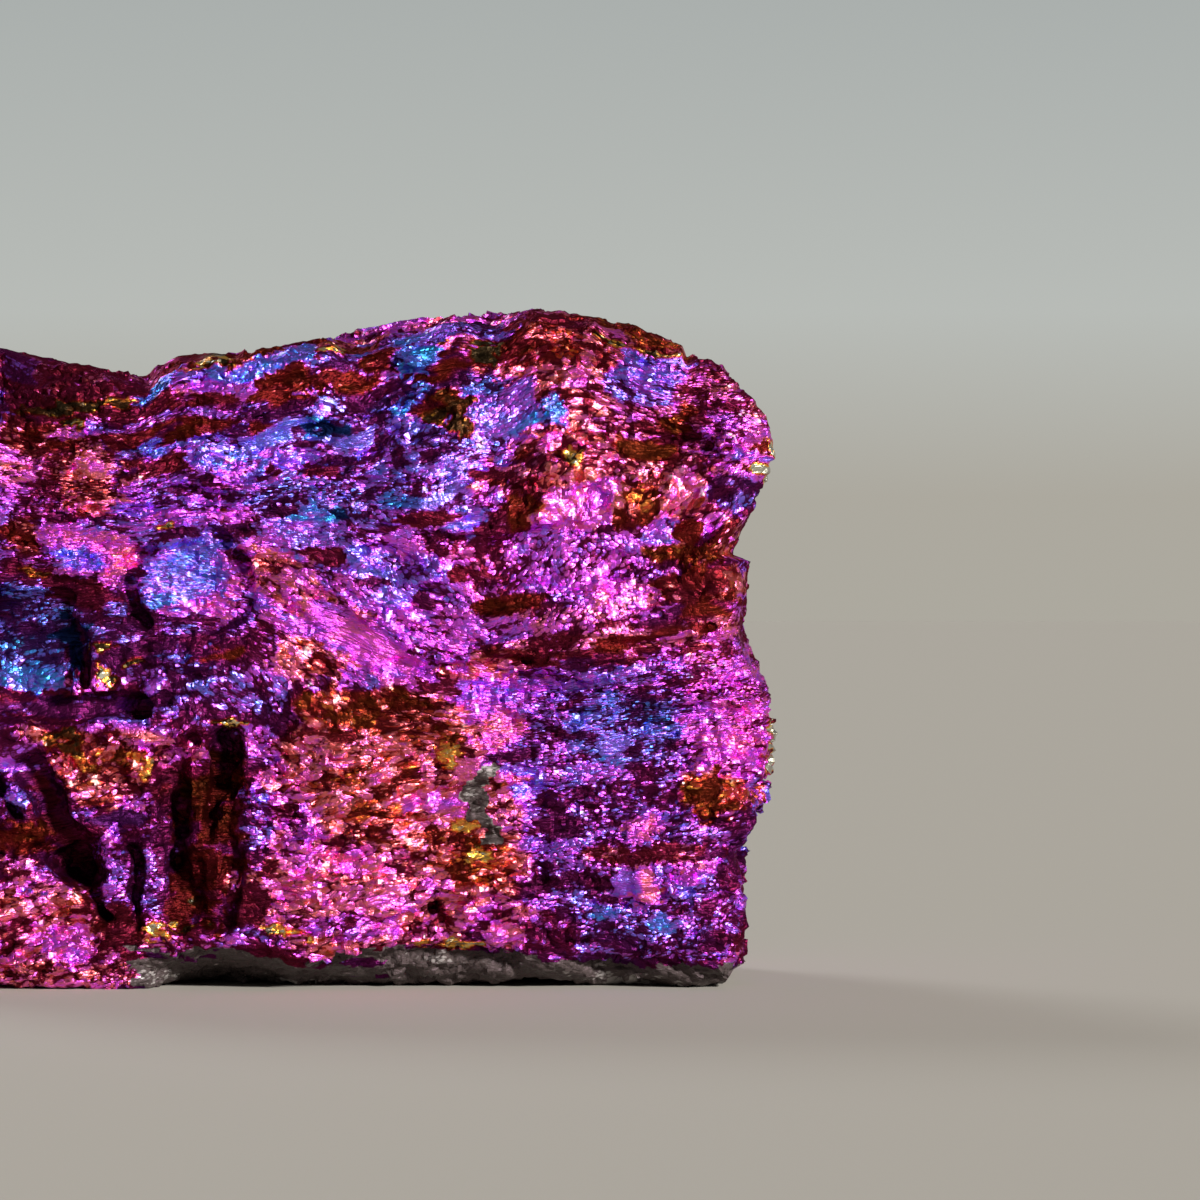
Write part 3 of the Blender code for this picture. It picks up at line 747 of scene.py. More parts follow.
    ("small_blue", 27.7, 4.5, 0.9, 0.7, 0, 0.82, 1.00, FINE, 0.1),
    ("lilac_facet", 25.0, 6.9, 0.85, 0.9, 5, 0.71, 1.50, SMOOTH, 0.45),
    ("pale_facet", 26.7, 6.8, 1.0, 1.3, 5, 0.44, 1.70, SMOOTH, 0.6),
    ("indigo_streaks", 17.7, 13.6, 1.9, 1.7, 0, 0.71, 0.85, FLAKY, 0.0),
    ("violet_by_streaks", 17.9, 11.2, 1.3, 0.7, 0, 0.62, 0.90, FINE, 0.05),
    # the lower middle
    ("lower_middle", 8.5, 10.6, 9.6, 9.4, 0, 0.42, 0.72, GRAINY, 0.0),
    ("copper_rows", 7.5, 18.9, 4.4, 1.3, 3, 0.30, 0.35, GRAINY, 0.0),
    ("copper_rows_low", 11.0, 17.4, 3.4, 1.2, 12, 0.31, 0.45, GRAINY, 0.0),
    ("maroon_row", 5.1, 17.0, 2.2, 0.4, 2, 0.36, 0.0, SMOOTH, -0.1),
    ("copper_side", 8.0, 13.2, 4.0, 2.2, 0, 0.34, 0.70, GRAINY, 0.0),
    ("copper_low", 14.0, 9.0, 3.0, 2.4, 20, 0.32, 0.65, GRAINY, 0.0),
    ("violet_grains", 2.8, 11.2, 2.1, 2.6, 0, 0.53, 0.75, GRAINY, 0.0),
    ("violet_edge", 0.2, 11.2, 1.1, 2.6, 0, 0.67, 0.50, FINE, 0.0),
    ("magenta_grains", 12.0, 12.5, 2.0, 1.0, 0, 0.53, 0.85, GRAINY, 0.05),
    ("red_streak", 9.0, 10.0, 1.5, 0.35, 0, 0.24, 0.10, SMOOTH, 0.0),
    ("lower_pink", 6.0, 6.4, 7.0, 2.6, -3, 0.46, 0.85, GRAINY, 0.05),
    ("lower_violet", 7.0, 4.2, 3.0, 1.0, 0, 0.57, 0.80, GRAINY, 0.0),
    ("pink_knob", 16.5, 17.4, 1.9, 1.0, -20, 0.50, 0.95, FINE, 0.1),
    ("pink_facets", 16.9, 3.6, 1.3, 1.2, 0, 0.50, 0.95, GRAINY, 0.1),
    ("amber_eye", 13.1, 15.7, 1.0, 0.8, 0, 0.16, 1.00, GRAINY, 0.1),
    ("pink_facet", 14.5, 14.8, 0.9, 0.7, -10, 0.43, 1.00, SMOOTH, 0.1),
    ("yellow_spot", 13.8, 10.7, 0.85, 0.5, -10, 0.13, 1.20, GRAINY, 0.2),
    ("amber_spot", 15.4, 9.0, 0.9, 0.6, 20, 0.16, 1.00, GRAINY, 0.0),
    ("grey_arm_up", 15.7, 14.3, 0.55, 1.2, 35, BARE, 0.15, GRAINY, 0.0),
    ("grey_elbow", 14.9, 12.7, 0.85, 1.2, 5, BARE, 0.15, GRAINY, 0.0),
    ("grey_arm_down", 15.5, 10.9, 0.55, 1.2, -32, BARE, 0.20, GRAINY, 0.0),
    ("gold_row", 13.4, 2.9, 2.8, 0.25, 2, 0.06, 1.00, FINE, 0.1),
    ("gold_splinter", 2.3, 3.9, 2.1, 0.3, 8, 0.07, 0.90, FINE, 0.1),
    # the lower left
    ("pocket_blue", -14.9, 23.2, 3.6, 3.9, 0, 0.80, 1.00, FLAKY, 0.0),
    ("pocket_teal", -12.2, 23.2, 0.5, 2.4, -14, 0.97, 0.45, FINE, 0.0),
    ("pocket_floor", -14.9, 20.6, 2.2, 0.8, 0, 0.84, 1.80, FINE, 0.1),
    ("dark_plate", -7.0, 23.0, 4.2, 3.0, 5, 0.68, 0.35, FLAKY, 0.0),
    ("violet_plate", -3.5, 19.8, 3.9, 1.3, 0, 0.68, 0.50, FLAKY, 0.0),
    ("maroon_smear", -2.0, 22.4, 1.5, 0.5, -15, 0.28, 0.02, SMOOTH, 0.0),
    ("pale_gold_edge", -10.5, 22.2, 0.22, 1.1, -18, 0.05, 0.70, FINE, 0.1),
    ("cream_patch", -9.9, 20.8, 0.7, 0.7, 10, 0.0, 0.50, FINE, 0.0),
    ("blade_skin", -12.2, 18.9, 5.4, 0.85, 0, 0.68, 0.50, SMOOTH, 0.05),
    ("pink_by_blade", -15.4, 17.3, 1.5, 0.6, 0, 0.43, 0.90, GRAINY, 0.1),
    ("copper_wedge", -10.2, 14.9, 3.8, 2.4, 20, 0.38, 0.66, GRAINY, 0.0),
    ("orange_in_wedge", -12.3, 15.8, 2.5, 0.6, 36, 0.23, 0.60, GRAINY, 0.0),
    ("copper_in_wedge", -9.2, 15.6, 1.8, 0.5, 5, 0.24, 0.80, GRAINY, 0.0),
    ("olive_in_wedge", -12.3, 17.1, 1.0, 0.45, 8, 0.16, 0.05, FINE, 0.0),
    ("gold_in_wedge", -7.2, 14.8, 0.4, 0.8, -10, 0.16, 0.85, GRAINY, 0.1),
    ("violet_sliver", -7.5, 17.2, 2.0, 0.5, 20, 0.60, 1.00, SMOOTH, 0.2),
    ("pink_tip", -5.1, 16.2, 0.7, 0.6, 0, 0.50, 0.95, GRAINY, 0.1),
    ("silver_glints", -1.5, 17.8, 1.2, 0.28, 5, 0.02, 0.85, FINE, 0.1),
    ("magenta_by_slot", 0.1, 16.8, 1.4, 1.1, 0, 0.58, 0.90, FINE, 0.1),
    ("slanting_blade", -15.5, 14.7, 1.5, 0.75, 60, 0.64, 1.00, SMOOTH, 0.15),
    ("slanting_shadow", -12.8, 10.8, 4.2, 0.8, 63, 0.45, 0.0, SMOOTH, 0.0),
    ("copper_dust", -15.0, 10.2, 2.0, 1.1, 0, 0.27, 0.05, FINE, 0.0),
    ("pink_by_pit", -15.6, 8.4, 1.5, 0.5, 3, 0.46, 0.80, FINE, 0.0),
    ("corner_block", -13.6, 4.2, 5.0, 3.4, 18, 0.42, 0.52, GRAINY, 0.0),
    ("corner_facet", -12.1, 2.9, 1.9, 1.5, 22, 0.56, 1.30, FINE, 0.35),
    ("blue_strip", -14.1, 6.9, 1.3, 0.35, 8, 0.88, 0.90, SMOOTH, 0.0),
    ("slot_ribs", -3.5, 10.0, 2.7, 6.8, 3, 0.30, -0.15, FLAKY, 0.0),
    ("dark_beside_slot", -6.3, 8.6, 0.9, 3.6, 0, 0.64, 0.35, FINE, 0.0),
    ("purple_facet", -9.2, 11.4, 1.6, 0.7, 7, 0.78, 0.0, SMOOTH, -0.1),
    ("violet_block", -9.5, 7.9, 1.1, 2.9, 0, 0.61, 0.70, FINE, 0.05),
    ("violet_column", -6.8, 8.0, 0.5, 3.2, 0, 0.63, 0.50, FINE, 0.0),
    ("pink_rib", -2.9, 12.4, 0.3, 2.0, 14, 0.48, 1.90, SMOOTH, 0.9),
    ("dark_foot_left", -9.0, 4.2, 1.9, 1.3, 50, 0.42, -0.20, FINE, 0.0),
    ("gold_foot", -6.2, 3.8, 1.0, 0.6, 0, 0.04, 1.10, GRAINY, 0.1),
    ("gold_by_slot", -3.9, 5.9, 0.5, 0.35, 0, 0.06, 1.00, GRAINY, 0.0),
    ("gold_foot_middle", -4.6, 4.1, 0.5, 0.4, 0, 0.09, 0.80, GRAINY, 0.0),
    ("gold_foot_right", -3.0, 4.4, 0.6, 0.35, 15, 0.05, 1.10, GRAINY, 0.1),
    ("pink_foot_grains", -1.7, 7.2, 0.6, 0.9, 20, 0.42, 1.10, GRAINY, 0.1),
    ("dark_bay", 0.1, 5.7, 1.2, 1.5, -10, 0.46, -0.15, FINE, -0.05),
    # painted highlights: silver film painted where the right rim catches the lamp
    ("rim_painted_glint", 33.6, 36.1, 0.6, 0.8, 0, 0.0, 1.30, FINE, 0.0),
    ("rim_painted_glint_middle", 33.5, 34.4, 0.6, 0.6, -20, 0.0, 1.20, FINE, 0.0),
]
# How clouds push the outlines about: (size, rounds, share of a patch's size, two seeds)
OUTLINE_CLOUDS = [(2.6, 2, 0.30, (11, 12)), (0.7, 1, 0.10, (13, 14))]
WANDER_MOST = 3.0  # a patch larger than this wanders no more than one of this size
PATCH_REACH = 1.4  # points further away than this, in shares of its size, are left out of the sum
PATCH_RIM = (0.95, 1.06)  # where a patch starts to fade and ends, in shares of its size
# The ground between the patches, for the film and for the painted light: (mean, spread, size of its
# clouds)
FILM_GROUND = (0.54, 0.22, np.array([13.0, 13.0, 7.0]))
PAINTED_LIGHT_GROUND = (0.45, 0.35, 8.0)
SKIN_GROUND, SKIN_STEPS = 9.0, (-0.25, 0.15, 0.75)  # size of its clouds, and where the skins change
LEAN_UP = 0.55  # how far a patch that leans to the right leans up as well
FACE_FADE = (2.0, 8.0)  # the patches start this far in front of the middle and are full here
CORNER, CORNER_WRAP = (29.0, 33.0), 10.0  # at the right corner they reach this much further round
# The bare rock of the undercut foot: its top as two rows, x and z, and where it starts
FOOT_TOP = ((-9.0, -4.0, 8.0, 16.0, 24.0, 33.0), (3.2, 3.7, 2.9, 2.4, 2.2, 1.7))
FOOT_SOFT, FOOT_FRONT, FOOT_LEFT = (-0.2, 0.2), (-16.9, -16.5), (-9.5, -8.5)
FOOT_CLOUDS = np.array([6.0, 6.0, 0.9])
# The film of the foot, and how much of it is painted as lit
FOOT_FILM, FOOT_PAINTED_LIGHT = 0.70, 0.35


def patchwork(points):
    """Film thickness, painted light, bareness, share of each skin, and lean of the surface at these
    points.
    """
    wander = np.zeros((len(points), 2))
    for size, rounds, share, seeds in OUTLINE_CLOUDS:
        wander += np.column_stack([clouds(points, size, seed, rounds) for seed in seeds]) * share
    mean, spread, size = FILM_GROUND
    film = mean + spread * clouds(points, size, 21)
    mean, spread, size = PAINTED_LIGHT_GROUND
    cover = mean + spread * clouds(points, size, 25)
    skins = np.zeros((len(points), 4))
    kind = clouds(points, SKIN_GROUND, 27, 2)
    skins[np.arange(len(points)), np.digitize(kind, SKIN_STEPS)] = 1.0
    lean, bare = np.zeros(len(points)), np.zeros(len(points))
    below = np.interp(points[:, 0], *FOOT_TOP) - points[:, 2]
    under = ease(below, *FOOT_SOFT) * ease(points[:, 1], *FOOT_FRONT) * ease(points[:, 0], *FOOT_LEFT)
    corner = ease(points[:, 0], *CORNER)
    on_face = ease(-points[:, 1] + CORNER_WRAP * corner, *FACE_FADE) * (1.0 - under)
    for name, x, z, half_length, half_height, turn, patch_film, patch_painted_light, skin, patch_lean in PATCHES:
        reach = PATCH_REACH * max(half_length, half_height)
        near = np.nonzero((np.abs(points[:, 0] - x) < reach) & (np.abs(points[:, 2] - z) < reach))[0]
        angle = math.radians(-turn)
        right = points[near, 0] - x
        up = points[near, 2] - z
        along = right * math.cos(angle) + up * math.sin(angle)
        along += wander[near, 0] * min(half_length, WANDER_MOST)
        across = up * math.cos(angle) - right * math.sin(angle)
        across += wander[near, 1] * min(half_height, WANDER_MOST)
        away = np.hypot(along / half_length, across / half_height)
        inside = on_face[near] * (1.0 - ease(away, *PATCH_RIM))
        if patch_film == BARE:
            bare[near] += inside * (1.0 - bare[near])
        else:
            bare[near] *= 1.0 - inside
            film[near] += inside * (patch_film - film[near])
        cover[near] += inside * (patch_painted_light - cover[near])
        skins[near] *= (1.0 - inside)[:, None]
        skins[near, skin] += inside
        lean[near] += inside * (-patch_lean * (right + LEAN_UP * up) - lean[near])
    rock = clouds(points, FOOT_CLOUDS, 29)
    bare += under * (ease(rock, -0.7, -0.3) - bare)
    film += under * (FOOT_FILM - film)
    cover += under * (FOOT_PAINTED_LIGHT * ease(rock, 0.2, 0.6) - cover)
    return film, cover, bare, skins, lean


print(len(PATCHES), "patches on the face")

# %% [markdown]
# ## Breaking up the skin, the coarse round
#
# Now each point of the skin moves. First the sharp edges that the cutters left wander a little. Then
# flat plates, flakes and lumps, a few millimetres across, move it in and out, each strong in some skins
# and weak in others. They are worked out on the straightened layers and most are long and thin, so they
# follow the folds. Seams between the layers are cut deeper, and inside the hollows the skin stays nearly
# smooth. The back gets larger plates of its own, and the bay round the two upright slots gets upright
# ribs. Where two plates meet, the faces between them are pulled long. So the stone is remeshed after this
# round, as a sculptor does after pulling clay about, the crumbs are dropped, and each new point looks up
# how deep in a hollow it lies.

# %% Break the skin coarsely
# Each: (size along, back and across the layers; step; tilt; its strength in each skin), in millimetres
PLATES = [((11.0, 9.0, 2.6), 0.60, 0.06, (1.0, 1.0, 1.0, 0.8))]
FLAKES = [((3.6, 3.0, 1.0), 0.32, 0.16, (1.0, 0.2, 0.3, 0.15))]
BACK_PLATES = [((10.0, 9.0, 4.5), 0.8, 0.18, (1.0, 1.0, 1.0, 1.0))]
LUMPS = [((2.2, 2.2, 1.5), 0.24, 0.18, (0.1, 1.0, 0.5, 0.06))]
SCALES = [((1.3, 1.1, 0.5), 0.13, 0.24, (1.0, 0.3, 0.6, 0.12))]
GRAINS = [((0.95, 0.95, 0.62), 0.13, 0.28, (0.3, 1.0, 0.9, 0.08))]
PLATES_SEED, FLAKES_SEED, LUMPS_SEED, SCALES_SEED, GRAINS_SEED, BACK_SEED = 41, 43, 45, 47, 49, 57
RIBBED_BAY = (-3.4, 11.0, 3.0, 6.8)  # x, z, half width and half height of the bay with upright ribs
RIB_SIZE, RIB_STEP = (0.7, 5.0, 4.5), 0.8
BACK_FADE = (-8.0, -2.0)  # the back's own plates start and are full this far back
EDGE_SIZE, EDGE_WANDER = 2.2, 0.16  # how the sharp edges of the hollows wander
SWELL_SIZE, SWELL = 5.0, 0.22  # broad soft swellings
LEAN_DEPTH, SEAM_DEPTH = 0.5, 0.30
SET_BACK = 0.3  # the skin starts this far in, so that the lump doesn't outgrow its block-out
WALL_DEPTH, WALL_CALM = (0.2, 0.6), 0.6  # inside a hollow the relief is this much weaker
LAYER_BEND, LAYER_SHIFT = np.array([2.6, 2.6, 1.3]), (0.45, 0.35, 0.16)
CALMEST, LESS_CALM, CALM_CLOUDS = 0.6, 0.7, np.array([5.0, 5.0, 2.5])  # some stretches move less


def bent(spots):
    """The straightened place of each point, with its layers a little uneven."""
    straight = layered(spots)
    return straight + wander_of(straight, LAYER_BEND, 34) * LAYER_SHIFT


def break_up(patterns, straight, skins, seed):
    """How far facets move the skin, their tone, how far they face the lamp, and the place in each."""
    calm = CALMEST + LESS_CALM * ease(clouds(straight, CALM_CLOUDS, 52, 2), -0.5, 0.5)
    moved, tone, facing = 0.0, 0.0, 0.0
    for number, (size, step, tilt, strengths) in enumerate(patterns):
        strength = skins @ np.array(strengths)
        height, its_tone, its_facing, inside = facets(straight, size, seed + 2 * number, step, tilt)
        moved += height * strength * calm
        tone += its_tone * strength
        facing += its_facing * strength
    return moved, tone, facing, inside


def seams(straight, skins):
    """1 in the seams between layers, 0 elsewhere."""
    found = 1.0 - ease(np.abs(clouds(straight, np.array([7.0, 7.0, 1.3]), 61)), 0.0, 0.10)
    found *= ease(clouds(straight, np.array([6.0, 6.0, 3.0]), 63, 1), -0.1, 0.4)
    return found * (1.0 - 0.7 * skins[:, SMOOTH])


skin = stone.data
spots = numbers(skin.vertices, "co", 3) / MM
depth = np.array([uncut.find_nearest(spot * MM)[3] for spot in spots]) / MM
spots += EDGE_WANDER * wander_of(spots, EDGE_SIZE, 31)
outward = numbers(skin.vertex_normals, "vector", 3)
straight = bent(spots)
skins, lean = patchwork(spots)[3:]
relief = LEAN_DEPTH * lean + SWELL * clouds(spots, SWELL_SIZE, 51) - SET_BACK
relief -= SEAM_DEPTH * seams(straight, skins)
on_back = ease(spots[:, 1], *BACK_FADE)
relief += break_up(PLATES, straight, skins, PLATES_SEED)[0]
relief += break_up(BACK_PLATES, straight, skins, BACK_SEED)[0] * on_back
relief += break_up(FLAKES + LUMPS, straight, skins, FLAKES_SEED)[0]
relief *= 1.0 - WALL_CALM * ease(depth, *WALL_DEPTH)
x, z, half_width, half_height = RIBBED_BAY
ribbed = 1.0 - ease(np.hypot((spots[:, 0] - x) / half_width, (spots[:, 2] - z) / half_height), 0.7, 1.0)
relief += facets(spots, RIB_SIZE, 55, RIB_STEP, 0.0)[0] * ribbed * (1.0 - on_back)
put_back(skin, spots + outward * relief[:, None])
print("coarse relief from", relief.min().round(2), "to", relief.max().round(2), "mm")

pulled = BVHTree.FromObject(stone, bpy.context.evaluated_depsgraph_get())
corners = np.array([face.vertices[0] for face in skin.polygons])
finish_with(stone, "REMESH", mode="VOXEL", voxel_size=FINE_VOXEL * MM)
drop_crumbs(stone)
skin = stone.data
spots = numbers(skin.vertices, "co", 3) / MM
depth = depth[corners[[pulled.find_nearest(spot * MM)[2] for spot in spots]]]
print(len(spots), "vertices after the remesh")

# %% [markdown]
# ## The fine round, and the colours
#
# Scales and grains under a millimetre across are too small to pull the new faces long. In this round
# the colours are settled too. Each flake takes the film thickness of its own middle, so a colour ends
# where a flake ends. Light and shade are painted into the colours as well: a flake that faces the lamp
# gets more painted light and a film colour that follows the lamp, and seams and deep hollows get painted
# shade. The straightened place of each point is kept as an attribute, because the finest grain, in the
# material, continues the pattern.

# %% Break the skin finely
# How much the coarse grain, the fine grain and the streaks show in each skin
SHARES = {
    "coarse": (0.45, 1.0, 0.25, 0.12),
    "fine": (0.8, 0.6, 1.0, 0.5),
    "streaky": (0.8, 0.1, 0.3, 1.0),
}
TO_MIDDLE = 0.7  # in fine and smooth skins a point looks this share of the way to its flake's middle
# How much a flake's tone, its facing and clouds change the film, and a back plate's tone; the change by
# facing is painted light, a colour that follows the lamp
FILM_TONE, FILM_PAINTED_BY_FACING, FILM_CLOUDS, FILM_BACK = 0.07, 0.05, 0.04, 0.24
# How much clouds change the painted light, and how much painted light a flake and a back plate get for
# facing the lamp
PAINTED_LIGHT_CLOUDS, PAINTED_LIGHT_BY_FACING, PAINTED_LIGHT_BACK = 0.5, 0.6, 0.8
# The painted light changes most where a patch is half lit
SWAY_LEAST, SWAY_HALF = 0.25, 2.6  # the cover changes most where a patch is half covered
# Painted shade: how much painted light seams, hollows and deep hollows lose, and where a hollow gets deep
SEAM_PAINTED_SHADE, HOLLOW_PAINTED_SHADE, DEEP_PAINTED_SHADE, DEEP_FROM = 0.6, 0.30, 0.4, (1.0, 3.0)


def keep(mesh, name, kind, field, values):
    """Stores one value for each vertex under a name."""
    if name in mesh.attributes:
        mesh.attributes.remove(mesh.attributes[name])
    made = mesh.attributes.new(name, kind, "POINT")
    made.data.foreach_set(field, np.asarray(values, np.float32).ravel())


hollow = ease(depth, *WALL_DEPTH)
outward = numbers(skin.vertex_normals, "vector", 3)
straight = bent(spots)
skins = patchwork(spots)[3]
broken = {name: break_up(pattern, straight, skins, seed) for name, pattern, seed in (
    ("flake", FLAKES, FLAKES_SEED), ("lump", LUMPS, LUMPS_SEED),
    ("scale", SCALES, SCALES_SEED), ("grain", GRAINS, GRAINS_SEED))}
relief = (broken["scale"][0] + broken["grain"][0]) * (1.0 - WALL_CALM * hollow)
tone = sum(parts[1] for parts in broken.values())
facing = sum(parts[2] for parts in broken.values())

flake, scale, grain = [broken[name][3] for name in ("flake", "scale", "grain")]
to_middle = (skins[:, [FLAKY]] * flake + skins[:, [GRAINY]] * grain
             + skins[:, [FINE]] * TO_MIDDLE * scale + skins[:, [SMOOTH]] * TO_MIDDLE * flake)
film, cover, bare = patchwork(spots - to_middle)[:3]
plate_tone, plate_facing = break_up(BACK_PLATES, straight, skins, BACK_SEED)[1:3]
on_back = ease(spots[:, 1], *BACK_FADE)
film_clouds = clouds(straight, np.array([4.0, 4.0, 2.0]), 74, 2)
# A flake's film colour follows how it faces the lamp: painted light
film += FILM_TONE * tone + FILM_PAINTED_BY_FACING * facing + FILM_CLOUDS * film_clouds
film += FILM_BACK * plate_tone * on_back
# Back plates and flakes that face the lamp get painted light
cover += PAINTED_LIGHT_BACK * plate_facing * on_back
sway = PAINTED_LIGHT_CLOUDS * clouds(straight, np.array([2.6, 2.6, 1.0]), 71) + PAINTED_LIGHT_BY_FACING * facing
clipped_painted_light = np.clip(cover, 0.0, 1.0)
cover += sway * (SWAY_LEAST + SWAY_HALF * clipped_painted_light * (1.0 - clipped_painted_light))
# Seams and hollows get painted shade: they lose painted light
cover -= SEAM_PAINTED_SHADE * seams(straight, skins) + HOLLOW_PAINTED_SHADE * hollow + DEEP_PAINTED_SHADE * ease(depth, *DEEP_FROM)
spots += outward * relief[:, None]
spots[:, 2] = np.maximum(spots[:, 2], 0.0)
put_back(skin, spots)

keep(skin, "straight_place", "FLOAT_VECTOR", "vector", straight)
keep(skin, "film", "FLOAT", "value", film)
keep(skin, "cover", "FLOAT", "value", cover)
keep(skin, "bare", "FLOAT", "value", bare)
for name, share in SHARES.items():
    keep(skin, name, "FLOAT", "value", skins @ np.array(share))
print("fine relief from", relief.min().round(2), "to", relief.max().round(2), "mm")

# %% [markdown]
# ## The outline against the light
#
# The eye checks an outline before anything else, so the top and the right side are fitted to one. Each
# point is first seen as the camera sees it, on the plane of the face. Where the lump's edge stands
# higher or lower than the line that is wanted, the stone below it is stretched or squeezed a little,
# less and less with depth. The broad shape of the line is fitted deep into the stone, and its small
# steps only in the few millimetres next to it. Roughness finer than that is left as it is.

# %% Fit the skyline and the right edge
# The skyline as (x, z), and the right edge as (z, x), on the plane of the face
SKYLINE = [
    (-16.8, 42.9), (-14.0, 42.3), (-11.5, 41.8), (-8.8, 41.3), (-7.5, 41.1), (-6.9, 40.9), (-6.5, 41.6),
    (-4.8, 42.4), (-2.6, 42.6), (-1.5, 42.5), (0.5, 42.8), (3.2, 43.3), (6.5, 43.9), (9.9, 44.7),
    (13.9, 45.1), (16.5, 45.2), (18.2, 45.4), (18.9, 45.6), (20.1, 45.3), (20.6, 45.45), (21.9, 45.05),
    (22.7, 45.1), (23.8, 44.65), (25.6, 44.4), (26.5, 43.95), (28.7, 43.1), (28.9, 42.4), (29.6, 42.4),
    (30.7, 42.05), (31.6, 41.4), (31.9, 40.7), (32.6, 40.2),
]
RIGHT_EDGE = [
    (0.6, 32.2), (2.0, 33.0), (4.0, 33.0), (7.0, 32.9), (9.8, 33.0), (11.2, 33.6), (12.6, 34.4),
    (14.5, 34.7), (17.0, 34.9), (19.4, 34.6), (21.0, 34.2), (22.6, 33.4), (24.3, 32.8), (26.0, 33.0),
    (28.8, 33.2), (29.0, 32.0), (30.6, 32.6), (31.9, 33.4), (32.5, 33.5), (34.0, 34.3), (36.0, 34.9),
    (38.0, 34.4), (39.4, 33.6), (40.6, 32.2), (41.1, 31.8),
]
FOOT = ((0.0, 1.3, 2.0), (31.4, 32.3, 36.0))  # the lump reaches no further right than this at each height
SKYLINE_START, RIGHT_START = 26.0, 20.0  # the stretching starts at this height, and this far right
MOST_STRETCH = 1.5
FULL_STRETCH = 0.8  # it is full at this share of the way to the edge
END_FADE = 3.0  # and it fades in and out over this length at the ends of a line
STEP_REACH = (3.0, 0.5)  # small steps start this far inside the edge and are full here
BIN = 0.25
BROAD, DETAIL = 13, 5  # how many bins the two parts of an edge are evened over


def seen(points):
    """Where the camera sees the points, on the plane of the face."""
    shrink = CAMERA_AWAY / (CAMERA_AWAY + points[:, 1] - FACE_Y)
    return np.column_stack([middle_x + (points[:, 0] - middle_x) * shrink,
                            middle_z + (points[:, 2] - middle_z) * shrink])


def even(values, count):
    """Each value becomes the mean of this many neighbours."""
    return np.convolve(np.pad(values, count // 2, mode="edge"), np.full(count, 1.0 / count), "valid")


def fit_edge(points, along, out, wanted, start):
    """Moves the points in direction out so that their edge runs along the wanted line."""
    flat = seen(points)
    side = {0: 0, 2: 1}  # x and z are the two numbers of a point that is seen
    where, height = flat[:, side[along]], flat[:, side[out]]
    bins = ((where - where.min()) / BIN).astype(int)
    edge = np.full(bins.max() + 1, -np.inf)
    np.maximum.at(edge, bins, height)
    centres = where.min() + (np.arange(len(edge)) + 0.5) * BIN
    filled = np.isfinite(edge)
    edge = np.interp(centres, centres[filled], edge[filled])
    line = np.array(wanted)
    target = np.interp(centres, line[:, 0], line[:, 1])
    broad = np.clip(even(target, BROAD) - even(edge, BROAD), -MOST_STRETCH, MOST_STRETCH)
    detail = target - even(edge, DETAIL) - (even(target, BROAD) - even(edge, BROAD))
    first, last = line[0, 0], line[-1, 0]
    fade = ease(where, first - END_FADE, first) * (1 - ease(where, last - END_FADE, last))
    deep = ease(height, start, start + FULL_STRETCH * (edge.max() - start))
    here = np.interp(where, centres, edge)
    shallow = ease(height, here - STEP_REACH[0], here - STEP_REACH[1])
    move = np.interp(where, centres, broad) * deep + np.interp(where, centres, detail) * shallow
    points[:, out] += move * fade


fit_edge(spots, 0, 2, SKYLINE, SKYLINE_START)
fit_edge(spots, 2, 0, RIGHT_EDGE, RIGHT_START)
spots[:, 0] = np.minimum(spots[:, 0], np.interp(spots[:, 2], *FOOT))
put_back(skin, spots)
print("highest point", spots[:, 2].max().round(2), "and furthest right", spots[:, 0].max().round(2), "mm")

# %% [markdown]
# ## Thinning out
#
# A quarter of a millimetre is as fine as the broad face needs, and finer than the rest needs. Decimate
# merges faces where the surface is flat. A vertex group tells it to spare the face, and most of the
# stone next to the outline, so most of the saving comes from the back and the sides.

# %% Thin out the faces
MOST_TRIANGLES = 194000
SPARE_FROM = (8.0, 14.0)  # the face is spared from this far in front of the middle, and here in full
SPARE_EDGE, SPARE_SHARE = (-1.5, -0.5), 0.8  # and so, to this share, is the stone next to the outline
LEVELS, LEAST_THINNING = 4, 0.15
group = stone.vertex_groups.new(name="thin_here")
flat = seen(spots)
over_skyline = flat[:, 1] - np.interp(flat[:, 0], *np.array(SKYLINE).T)
past_edge = flat[:, 0] - np.interp(flat[:, 1], *np.array(RIGHT_EDGE).T)
outline = np.maximum(ease(over_skyline, *SPARE_EDGE), ease(past_edge, *SPARE_EDGE))
spare = np.maximum(ease(-spots[:, 1], *SPARE_FROM), SPARE_SHARE * outline)
for level in range(LEVELS + 1):
    members = np.nonzero(np.round((1.0 - spare) * LEVELS) == level)[0]
    group.add(members.tolist(), LEAST_THINNING + (1.0 - LEAST_THINNING) * level / LEVELS, "REPLACE")
triangles = sum(len(face.vertices) - 2 for face in skin.polygons)
finish_with(stone, "DECIMATE", ratio=MOST_TRIANGLES / triangles, vertex_group="thin_here",
            vertex_group_factor=1.0)
stone.vertex_groups.clear()
skin = stone.data
spots = numbers(skin.vertices, "co", 3) / MM
spots[:, 2] = np.maximum(spots[:, 2], 0.0)
put_back(skin, spots)
print(triangles, "triangles before,", len(skin.polygons), "after")
